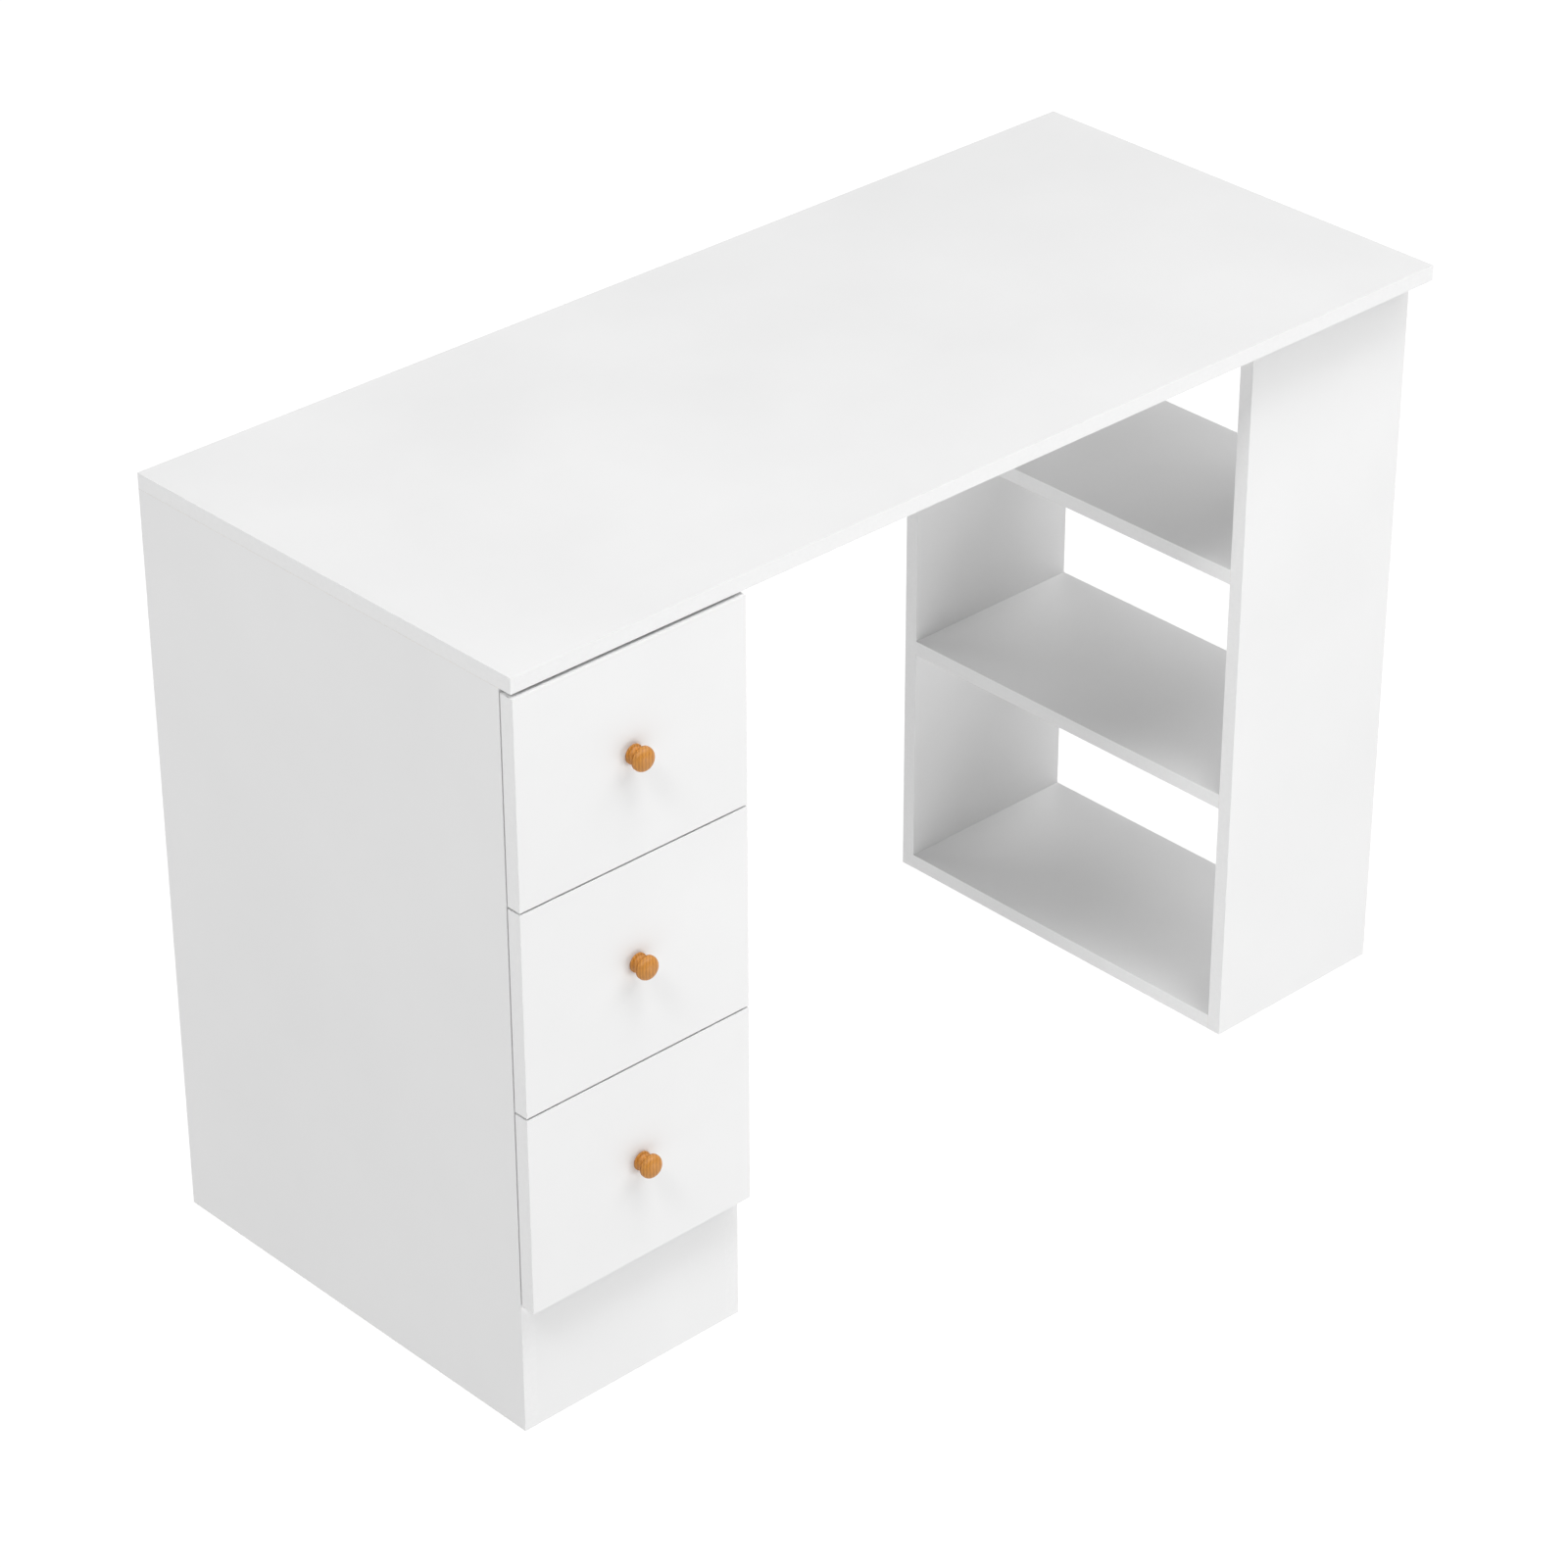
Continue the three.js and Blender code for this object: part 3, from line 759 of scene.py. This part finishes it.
def runner(node, side, mesh):
    """A runner made as distances from the left wall of the cabinet, put on the side it belongs to."""
    mesh.transform(Matrix.Translation((WALL[side], 0, 0)) @ Matrix.Diagonal((INWARD[side], 1, 1, 1)))
    if INWARD[side] < 0:
        bmesh.ops.reverse_faces(mesh, faces=mesh.faces)
    made = piece(node + "_strip", mesh, [EPOXY], body_of(node))
    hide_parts(node)


def slot_places(low):
    """The y of a channel's slots, or of the same places on a rail, from the low corner of its box."""
    return [low.y + FIRST_SLOT + i * SLOT_PITCH for i in range(SLOTS)]


pin = turned_mm(PIN_PROFILE, PIN_SIDES)
for drawer in DRAWERS:
    for side in ("left", "right"):
        node = f"{drawer}_cabinet_runner_{side}"
        low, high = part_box(node)
        middle, base, top = STRIP / 2, low.z + STRIP / 2, high.z - STRIP / 2
        channel = rolled(
            folded([(CHANNEL_WIDTH, base), (middle, base), (middle, top), (CHANNEL_WIDTH, top)]),
            low.y, high.y,
        )
        slots = slot_cutter(-STRIP, 2 * STRIP, slot_places(low), (base + top) / 2)
        roller_low, roller_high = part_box(f"{drawer}_front_roller_{side}")
        axle = Vector((STRIP, *((roller_low + roller_high) / 2).yz))
        runner(node, side, joined(cut_away(channel, slots), pin, [facing((1, 0, 0), axle)]))

        node = f"{drawer}_drawer_runner_{side}"
        low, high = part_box(node)
        side_low, side_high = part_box(f"{drawer}_drawer_side_{side}")
        clearance = min(abs(side_low.x - WALL[side]), abs(side_high.x - WALL[side]))
        under = max(abs(side_low.x - WALL[side]), abs(side_high.x - WALL[side]))
        middle, base, top = clearance - STRIP / 2, low.z + STRIP / 2, high.z - STRIP / 2
        rail = rolled(
            folded([(under, base), (middle, base), (middle, top), (FLANGE_FROM_WALL, top)]),
            low.y, high.y,
        )
        roller_low, roller_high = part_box(f"{drawer}_rear_roller_{side}")
        flange_end = roller_low.y - FLANGE_TO_ROLLER
        notch = block((0, flange_end, base + STRIP), (clearance - STRIP, high.y + STRIP, top + STRIP))
        axle = Vector((clearance - STRIP, *((roller_low + roller_high) / 2).yz))
        runner(node, side, joined(cut_away(rail, notch), pin, [facing((-1, 0, 0), axle)]))
pin.free()


# ---- Rollers -------------------------------------------------------------------------------------
# Moulded nylon wheels that turn on the runners' pins. Each has a hub, a web with ribs on both faces and a
# rim with rounded corners.
BORE_RADIUS = 2.15 * MM
HUB_RADIUS = 3.7 * MM
RIM_THICKNESS = 1.7 * MM
RIM_ROUND = 0.5 * MM
RIM_CORNER_SHARE = 0.3  # where the middle of the rounding lies in its square
WEB_DEPTH = 1.6 * MM  # below the hub's and the rim's faces
RIBS = 6
RIB_WIDTH = 0.9 * MM
RIB_DEPTH = 0.7 * MM  # below the same faces
ROLLER_SIDES = 48


def natural_nylon():
    """Undyed nylon, moulded: milky and slightly see-through, waxy where it has run on the flanges."""
    material = new_material("natural_nylon")
    place = add(material, "TexCoord")
    flow = add(
        material, "TexNoise",
        {"Scale": 1 / (3 * MM), "Detail": 2.0, "Distortion": 0.6},
        {"Vector": place.outputs["Object"]},
    )
    tone = add(
        material, "ValToRGB",
        {"ramp": [(0.3, linear("#D9D6CE")), (0.7, linear("#E4E2DB"))]},
        {"Fac": flow.outputs["Fac"]},
    )
    sheen = add(material, "MapRange", {"To Min": 0.25, "To Max": 0.45}, {"Value": flow.outputs["Fac"]})
    return surface(
        material,
        {
            "IOR": 1.53, "Subsurface Weight": 0.3, "Subsurface Radius": (1.0, 0.9, 0.7),
            "Subsurface Scale": 1 * MM,
        },
        {"Base Color": tone.outputs["Color"], "Roughness": sheen.outputs["Result"]},
    )


NYLON = natural_nylon()


def roller(node):
    """A wheel in its CAD node's place, turned about X, with its ribs."""
    low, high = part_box(node)
    centre, radius, width = (low + high) / 2, (high.z - low.z) / 2, high.x - low.x
    inside = radius - RIM_THICKNESS
    corner = RIM_CORNER_SHARE * RIM_ROUND
    face = [
        (BORE_RADIUS, 0), (HUB_RADIUS, 0), (HUB_RADIUS, WEB_DEPTH), (inside, WEB_DEPTH), (inside, 0),
        (radius - RIM_ROUND, 0), (radius - corner, corner), (radius, RIM_ROUND),
    ]
    mesh = turned(face + [(r, width - depth) for r, depth in face[::-1]], ROLLER_SIDES)
    rib = block(
        (HUB_RADIUS - RIB_WIDTH, -RIB_WIDTH / 2, RIB_DEPTH),
        (inside + RIB_WIDTH, RIB_WIDTH / 2, width - RIB_DEPTH),
    )
    joined(mesh, rib, [Matrix.Rotation(2 * math.pi * i / RIBS, 4, "Z") for i in range(RIBS)])
    rib.free()
    mesh.transform(facing((1, 0, 0), (low.x, centre.y, centre.z)))
    made = piece(node + "_wheel", mesh, [NYLON], body_of(node))
    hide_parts(node)


for drawer in DRAWERS:
    for name in ("front_roller_left", "front_roller_right", "rear_roller_left", "rear_roller_right"):
        roller(f"{drawer}_{name}")


# ---- Screws --------------------------------------------------------------------------------------
# Zinc-plated steel with a cross recess: pan heads through the drawer fronts into the knobs, low heads in
# the channels' slots and under the rails' ledges, and countersunk ones through the drawer sides into the
# drawer backs.
KNOB_SCREW_PROFILE = [  # radius, height over the board; these and all the profiles below are in mm
    (0.0, -25.0), (1.7, -25.0), (2.0, -24.6), (2.0, 0.0), (4.0, 0.0), (4.0, 0.9), (3.8, 1.5), (3.2, 2.05),
    (2.2, 2.4), (0.0, 2.5),
]
LOW_HEAD_PROFILE = [(0.0, -1.5), (1.5, -1.5), (1.5, 0.0), (3.2, 0.0), (3.1, 0.3), (2.3, 0.5), (0.0, 0.55)]
COUNTERSUNK_PROFILE = [(0.0, -2.4), (1.5, -2.4), (3.4, -0.2), (3.5, 0.1), (3.3, 0.2), (0.0, 0.2)]
BACK_SCREW_HEIGHTS = (0.3, 0.8)  # of the drawer back's height
CROSS_HALF_WIDTH = 0.22  # of its reach
CROSS_TAPER = 0.6  # its reach at the bottom, of its reach at the top
CROSS_CLEARANCE = 0.2  # in mm; what its cutter stands out of the head
HEAD_SIDES = 32


def zinc_plate():
    """Bright zinc, clear passivated: silver with a slow drift to blue and straw, and fine barrel scuffs."""
    material = new_material("zinc_plated_steel")
    place = add(material, "TexCoord")
    drift = add(
        material, "TexNoise",
        {"Scale": 1 / (5 * MM), "Detail": 1.0},
        {"Vector": place.outputs["Object"]},
    )
    tone = add(
        material, "ValToRGB",
        {"ramp": [(0.35, linear("#B4BCC6")), (0.65, linear("#CFCCC0"))]},
        {"Fac": drift.outputs["Fac"]},
    )
    scuffs = add(
        material, "TexNoise",
        {"Scale": 1 / (0.6 * MM), "Detail": 3.0},
        {"Vector": place.outputs["Object"]},
    )
    sheen = add(material, "MapRange", {"To Min": 0.22, "To Max": 0.42}, {"Value": scuffs.outputs["Fac"]})
    return surface(
        material, {"Metallic": 1.0},
        {"Base Color": tone.outputs["Color"], "Roughness": sheen.outputs["Result"]},
    )


ZINC = zinc_plate()


def crossed(profile, arm, bottom):
    """A turned screw head or disc with a tapered cross in it, all in mm.

    The cross reaches as far as arm from the axis, and its floor is at the height bottom.
    """
    top = max(height for radius, height in profile) + CROSS_CLEARANCE
    cross = bmesh.new()
    ends = []
    for height, reach in ((top, arm), (bottom, CROSS_TAPER * arm)):
        half = CROSS_HALF_WIDTH * reach
        quarter = [Vector((x, y, height)) for x, y in ((half, reach), (-half, reach), (-half, half))]
        ends.append([
            cross.verts.new((Matrix.Rotation(turn * math.pi / 2, 3, "Z") @ corner) * MM)
            for turn in range(4) for corner in quarter
        ])
    for i in range(len(ends[0])):
        cross.faces.new((ends[0][i - 1], ends[0][i], ends[1][i], ends[1][i - 1]))
    for end in ends:
        cross.faces.new(end)
    bmesh.ops.recalc_face_normals(cross, faces=cross.faces)
    return cut_away(turned_mm(profile, HEAD_SIDES), cross)


def fasteners(name, model, places, material, body):
    """All the fasteners of one kind on a body, as one piece."""
    return piece(name, joined(bmesh.new(), model, places), [material], body)


low_head = crossed(LOW_HEAD_PROFILE, 1.6, -0.6)
countersunk = crossed(COUNTERSUNK_PROFILE, 1.9, -1.2)
knob_screw = crossed(KNOB_SCREW_PROFILE, 2.2, 0.6)
channel_places = []
for drawer in DRAWERS:
    body = body_of(drawer + "_drawer_front")
    ledge_places = []
    back_places = []
    for side in ("left", "right"):
        inward = INWARD[side]
        low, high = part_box(f"{drawer}_cabinet_runner_{side}")
        for i in SCREWED_SLOTS:
            point = (WALL[side] + inward * STRIP, slot_places(low)[i], (low.z + high.z) / 2)
            channel_places.append(facing((inward, 0, 0), point))
        low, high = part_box(f"{drawer}_drawer_runner_{side}")
        side_low, side_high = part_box(f"{drawer}_drawer_side_{side}")
        for i in SCREWED_SLOTS:
            point = ((side_low.x + side_high.x) / 2, slot_places(low)[i], low.z)
            ledge_places.append(facing((0, 0, -1), point))
        back_low, back_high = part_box(drawer + "_drawer_back")
        outside = side_low.x if side == "left" else side_high.x
        for share in BACK_SCREW_HEIGHTS:
            height = back_low.z + share * (back_high.z - back_low.z)
            back_places.append(facing((-inward, 0, 0), (outside, (back_low.y + back_high.y) / 2, height)))
    fasteners(drawer + "_rail_screws", low_head, ledge_places, ZINC, body)
    fasteners(drawer + "_drawer_back_screws", countersunk, back_places, ZINC, body)
    low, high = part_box(drawer + "_knob")
    board_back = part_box(drawer + "_drawer_front")[1].y
    place = facing((0, 1, 0), ((low.x + high.x) / 2, board_back, (low.z + high.z) / 2))
    screw = fasteners(drawer + "_knob_screw_pan_head", knob_screw, [place], ZINC, body)
    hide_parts(drawer + "_knob_screw")
fasteners("channel_screws", low_head, channel_places, ZINC, "carcass")


# ---- Cams and caps -------------------------------------------------------------------------------
# The boards are pulled together by cams, zinc discs let in almost flush in an inner face, each with a
# cross to turn it by, or by long screws from outside, each under a white plastic cap.
CAM_PROFILE = [(0.0, -8.0), (7.4, -8.0), (7.4, 0.1), (7.1, 0.35), (6.1, 0.35), (5.8, 0.15), (0.0, 0.15)]
CAM_INSET = 34 * MM  # a board's end to the cam's centre
DRAWER_CAM_SCALE = 0.75
DRAWER_CAM_INSET = 24 * MM
CAP_PROFILE = [
    (0.0, -3.0), (3.0, -3.0), (3.0, 0.0), (6.0, 0.0), (5.9, 0.35), (5.2, 0.75), (3.2, 1.0), (0.0, 1.1),
]
FIXING_SHARES = (0.22, 0.78)  # along a joint


def die_cast_zinc():
    """Bare die-cast zinc: dull grey, with the faint swirl of the melt."""
    material = new_material("die_cast_zinc")
    place = add(material, "TexCoord")
    swirl = add(
        material, "TexNoise",
        {"Scale": 1 / (3 * MM), "Detail": 4.0, "Distortion": 1.5},
        {"Vector": place.outputs["Object"]},
    )
    tone = add(
        material, "ValToRGB",
        {"ramp": [(0.3, linear("#9DA0A4")), (0.7, linear("#B8BABC"))]},
        {"Fac": swirl.outputs["Fac"]},
    )
    relief = add(
        material, "Bump",
        {"Strength": 0.3, "Distance": 0.1 * MM},
        {"Height": swirl.outputs["Fac"]},
    )
    return surface(
        material, {"Metallic": 1.0, "Roughness": 0.45},
        {"Base Color": tone.outputs["Color"], "Normal": relief.outputs["Normal"]},
    )


def polythene():
    """Moulded polythene: waxy white, with the moulding's fine spark texture."""
    material = new_material("white_polythene")
    place = add(material, "TexCoord")
    spark = add(
        material, "TexNoise",
        {"Scale": 1 / (1 * MM), "Detail": 2.0},
        {"Vector": place.outputs["Object"]},
    )
    tone = add(
        material, "ValToRGB",
        {"ramp": [(0.3, linear("#DAD9D8")), (0.7, linear("#E2E1E0"))]},
        {"Fac": spark.outputs["Fac"]},
    )
    relief = add(
        material, "Bump",
        {"Strength": 0.2, "Distance": 0.1 * MM},
        {"Height": spark.outputs["Fac"]},
    )
    return surface(
        material, {"IOR": 1.51, "Roughness": 0.4, "Subsurface Weight": 0.1, "Subsurface Scale": 1 * MM},
        {"Base Color": tone.outputs["Color"], "Normal": relief.outputs["Normal"]},
    )


def between(low, high, share):
    """The point at a share of the way from low to high."""
    return low + share * (high - low)


cam = crossed(CAM_PROFILE, 3.4, -0.6)
cap = turned_mm(CAP_PROFILE, HEAD_SIDES)
cam_places = []
cap_places = []

# Under the top, in the cabinet's sides and in the shelf unit's panels.
cam_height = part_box("desktop")[0].z - CAM_INSET
for side in ("left", "right"):
    low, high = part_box("cabinet_side_outer" if side == "left" else "cabinet_side_inner")
    for share in FIXING_SHARES:
        point = (WALL[side], between(low.y, high.y, share), cam_height)
        cam_places.append(facing((INWARD[side], 0, 0), point))
front_low, front_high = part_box("shelf_unit_front_panel")
rear_low, rear_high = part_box("shelf_unit_rear_panel")
for share in FIXING_SHARES:
    x = between(front_low.x, front_high.x, share)
    cam_places.append(facing((0, 1, 0), (x, front_high.y, cam_height)))
    cam_places.append(facing((0, -1, 0), (x, rear_low.y, cam_height)))
    # The shelves: screws through the rear panel, and cams under their front ends, where there is room.
    for shelf in SHELVES:
        low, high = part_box(shelf)
        cap_places.append(facing((0, 1, 0), (x, rear_high.y, (low.z + high.z) / 2)))
        if low.z > CAM_INSET:
            cam_places.append(facing((0, 0, -1), (x, low.y + CAM_INSET, low.z)))

# The stretcher's ends and upper edge.
low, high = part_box("rear_stretcher")
for x in (low.x + CAM_INSET, high.x - CAM_INSET):
    cam_places.append(facing((0, 1, 0), (x, high.y, (low.z + high.z) / 2)))
for share in FIXING_SHARES:
    cam_places.append(facing((0, 1, 0), (between(low.x, high.x, share), high.y, high.z - CAM_INSET)))

# The cabinet's bottom and plinths: screws through its inner side, cams towards its outer one.
knee_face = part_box("cabinet_side_inner")[1].x
low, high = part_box("cabinet_bottom")
for share in FIXING_SHARES:
    y = between(low.y, high.y, share)
    cap_places.append(facing((1, 0, 0), (knee_face, y, (low.z + high.z) / 2)))
    cam_places.append(facing((0, 0, -1), (low.x + CAM_INSET, y, low.z)))
for plinth in ("plinth_front", "plinth_rear"):
    low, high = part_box(plinth)
    cap_places.append(facing((1, 0, 0), (knee_face, (low.y + high.y) / 2, (low.z + high.z) / 2)))

DIE_CAST = die_cast_zinc()
fasteners("carcass_cams", cam, cam_places, DIE_CAST, "carcass")
fasteners("screw_caps", cap, cap_places, polythene(), "carcass")

# The drawer fronts: small cams in the sides.
shrink = Matrix.Scale(DRAWER_CAM_SCALE, 4)
for drawer in DRAWERS:
    places = []
    for side in ("left", "right"):
        low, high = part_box(f"{drawer}_drawer_side_{side}")
        inner_face = high.x if side == "left" else low.x
        for share in FIXING_SHARES:
            point = (inner_face, low.y + DRAWER_CAM_INSET, between(low.z, high.z, share))
            places.append(facing((INWARD[side], 0, 0), point) @ shrink)
    body = body_of(drawer + "_drawer_front")
    fasteners(drawer + "_drawer_cams", cam, places, DIE_CAST, body)


# ---- Nails ---------------------------------------------------------------------------------------
# Blued wire nails hold the hardboard back's lower edge to the cabinet bottom.
NAIL_PROFILE = [(0.0, -12.0), (0.7, -12.0), (0.7, -0.3), (2.2, 0.0), (2.2, 0.35), (1.8, 0.5), (0.0, 0.55)]
NAILS = 4
NAIL_SIDES = 20


def blued_steel():
    """Steel wire tempered in air: blue-black oxide, worn to steel in specks."""
    material = new_material("blued_steel")
    place = add(material, "TexCoord")
    wear = add(
        material, "TexNoise",
        {"Scale": 1 / (1 * MM), "Detail": 4.0},
        {"Vector": place.outputs["Object"]},
    )
    tone = add(
        material, "ValToRGB",
        {"ramp": [(0.45, linear("#2E333B")), (0.75, linear("#7B7F85"))]},
        {"Fac": wear.outputs["Fac"]},
    )
    return surface(material, {"Metallic": 1.0, "Roughness": 0.38}, {"Base Color": tone.outputs["Color"]})


nail = turned_mm(NAIL_PROFILE, NAIL_SIDES)
low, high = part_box("cabinet_bottom")
back_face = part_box("cabinet_back")[1].y
nail_places = [
    facing((0, 1, 0), (between(low.x, high.x, (i + 0.5) / NAILS), back_face, (low.z + high.z) / 2))
    for i in range(NAILS)
]
fasteners("back_nails", nail, nail_places, blued_steel(), "carcass")
for model in (low_head, countersunk, knob_screw, cam, cap, nail):
    model.free()


# ---- Knobs ---------------------------------------------------------------------------------------
# Turned from one length of pine with the grain upright, stained honey brown and lacquered. A flared foot,
# a bead and a groove at the neck, and a broad domed cap. Each is held by its screw from behind. The
# sizes are in mm.
FOOT_RADIUS = 9.0
NECK_RADIUS = 6.0
CAP_RADIUS = 11.1
CAP_RIM = 12.4  # the foot's face to the cap's rim
PROJECTION = 19.0
KNOB_BORE_RADIUS = 2.1
KNOB_BORE_DEPTH = 11.0
BORE_POINT = 1.0
KNOB_SIDES = 96
ARC_STEPS = 8


def arc(radius_at, height_at, wide, tall, start, end, steps=ARC_STEPS):
    """Points on an ellipse's arc, as (radius, height), between two angles in degrees."""
    points = []
    for step in range(steps + 1):
        angle = math.radians(start + (end - start) * step / steps)
        points.append((radius_at + wide * math.cos(angle), height_at + tall * math.sin(angle)))
    return points


def stained_pine():
    """Pine turned across its grain: upright streaks of early and late wood, honey brown under lacquer."""
    material = new_material("stained_pine")
    place = add(material, "TexCoord")
    # Rings 2.6 mm apart round an upright heart, 32 mm left of the knob's axis and 23 mm behind its middle.
    # They are drawn out along the grain.
    heart = add(
        material, "Mapping",
        {"Location": (0.4575, 0.2180, 0.0), "Scale": (1.0, 1.0, 0.12)},
        {"Vector": place.outputs["Object"]},
    )
    rings = add(
        material, "TexWave",
        {
            "wave_type": "RINGS", "rings_direction": "Z", "wave_profile": "SIN",
            "Scale": bands_apart(2.6 * MM), "Distortion": 1.6, "Detail": 3.0, "Detail Scale": 1.2,
        },
        {"Vector": heart.outputs["Vector"]},
    )
    fibres = add(
        material, "TexNoise",
        {"Scale": 1 / (0.9 * MM), "Detail": 4.0, "Roughness": 0.6},
        {"Vector": heart.outputs["Vector"]},
    )
    growth = add(
        material, "ValToRGB",
        {"ramp": [(0.1, linear("#C98633")), (0.95, linear("#A5661B"))]},
        {"Fac": rings.outputs["Fac"]},
    )
    pores = add(
        material, "ValToRGB",
        {"ramp": [(0.3, linear("#985C12")), (0.6, linear("#CA8C38"))]},
        {"Fac": fibres.outputs["Fac"]},
    )
    tone = add(
        material, "Mix",
        {"data_type": "RGBA", "Factor": 0.45},
        {"A": growth.outputs["Color"], "B": pores.outputs["Color"]},
    )
    relief = add(
        material, "Bump",
        {"Strength": 0.15, "Distance": 0.08 * MM},
        {"Height": fibres.outputs["Fac"]},
    )
    return surface(
        material,
        {"IOR": 1.5, "Roughness": 0.5, "Coat Weight": 0.08, "Coat Roughness": 0.3},
        {"Base Color": tone.outputs["Result"], "Normal": relief.outputs["Normal"]},
    )


PINE = stained_pine()
profile = [(0.0, KNOB_BORE_DEPTH), (KNOB_BORE_RADIUS, KNOB_BORE_DEPTH - BORE_POINT), (KNOB_BORE_RADIUS, 0.0)]
profile += arc(FOOT_RADIUS - 0.4, 0.4, 0.4, 0.4, -90, 0, 3)  # the foot's edge on the board
profile += arc(FOOT_RADIUS - 0.5, 1.3, 0.5, 0.5, 0, 60, 3)  # the foot's outer edge
profile += arc(FOOT_RADIUS + 0.1, 4.9, 2.6, 3.0, 252, 190)  # the flare up to the neck
profile += arc(NECK_RADIUS + 0.1, 5.6, 0.6, 0.6, -50, 50, 4)  # the bead
profile += arc(NECK_RADIUS + 5.2, 6.4, 5.3, 3.6, 170, 92)  # the groove and the cap's underside
profile += arc(CAP_RADIUS - 1.0, CAP_RIM - 0.9, 1.0, 1.2, -70, 0, 4)  # the cap's rim
profile += arc(0.0, CAP_RIM - 0.6, CAP_RADIUS, PROJECTION - CAP_RIM + 0.6, 4, 90, 16)[:-1]  # the dome
profile.append((0.0, PROJECTION))
knob = turned_mm(profile, KNOB_SIDES)
for drawer in DRAWERS:
    low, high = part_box(drawer + "_knob")
    place = facing((0, -1, 0), ((low.x + high.x) / 2, high.y, (low.z + high.z) / 2))
    made = piece(
        drawer + "_knob_turning", joined(bmesh.new(), knob, [place]), [PINE],
        body_of(drawer + "_knob"),
    )
    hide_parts(drawer + "_knob")
knob.free()
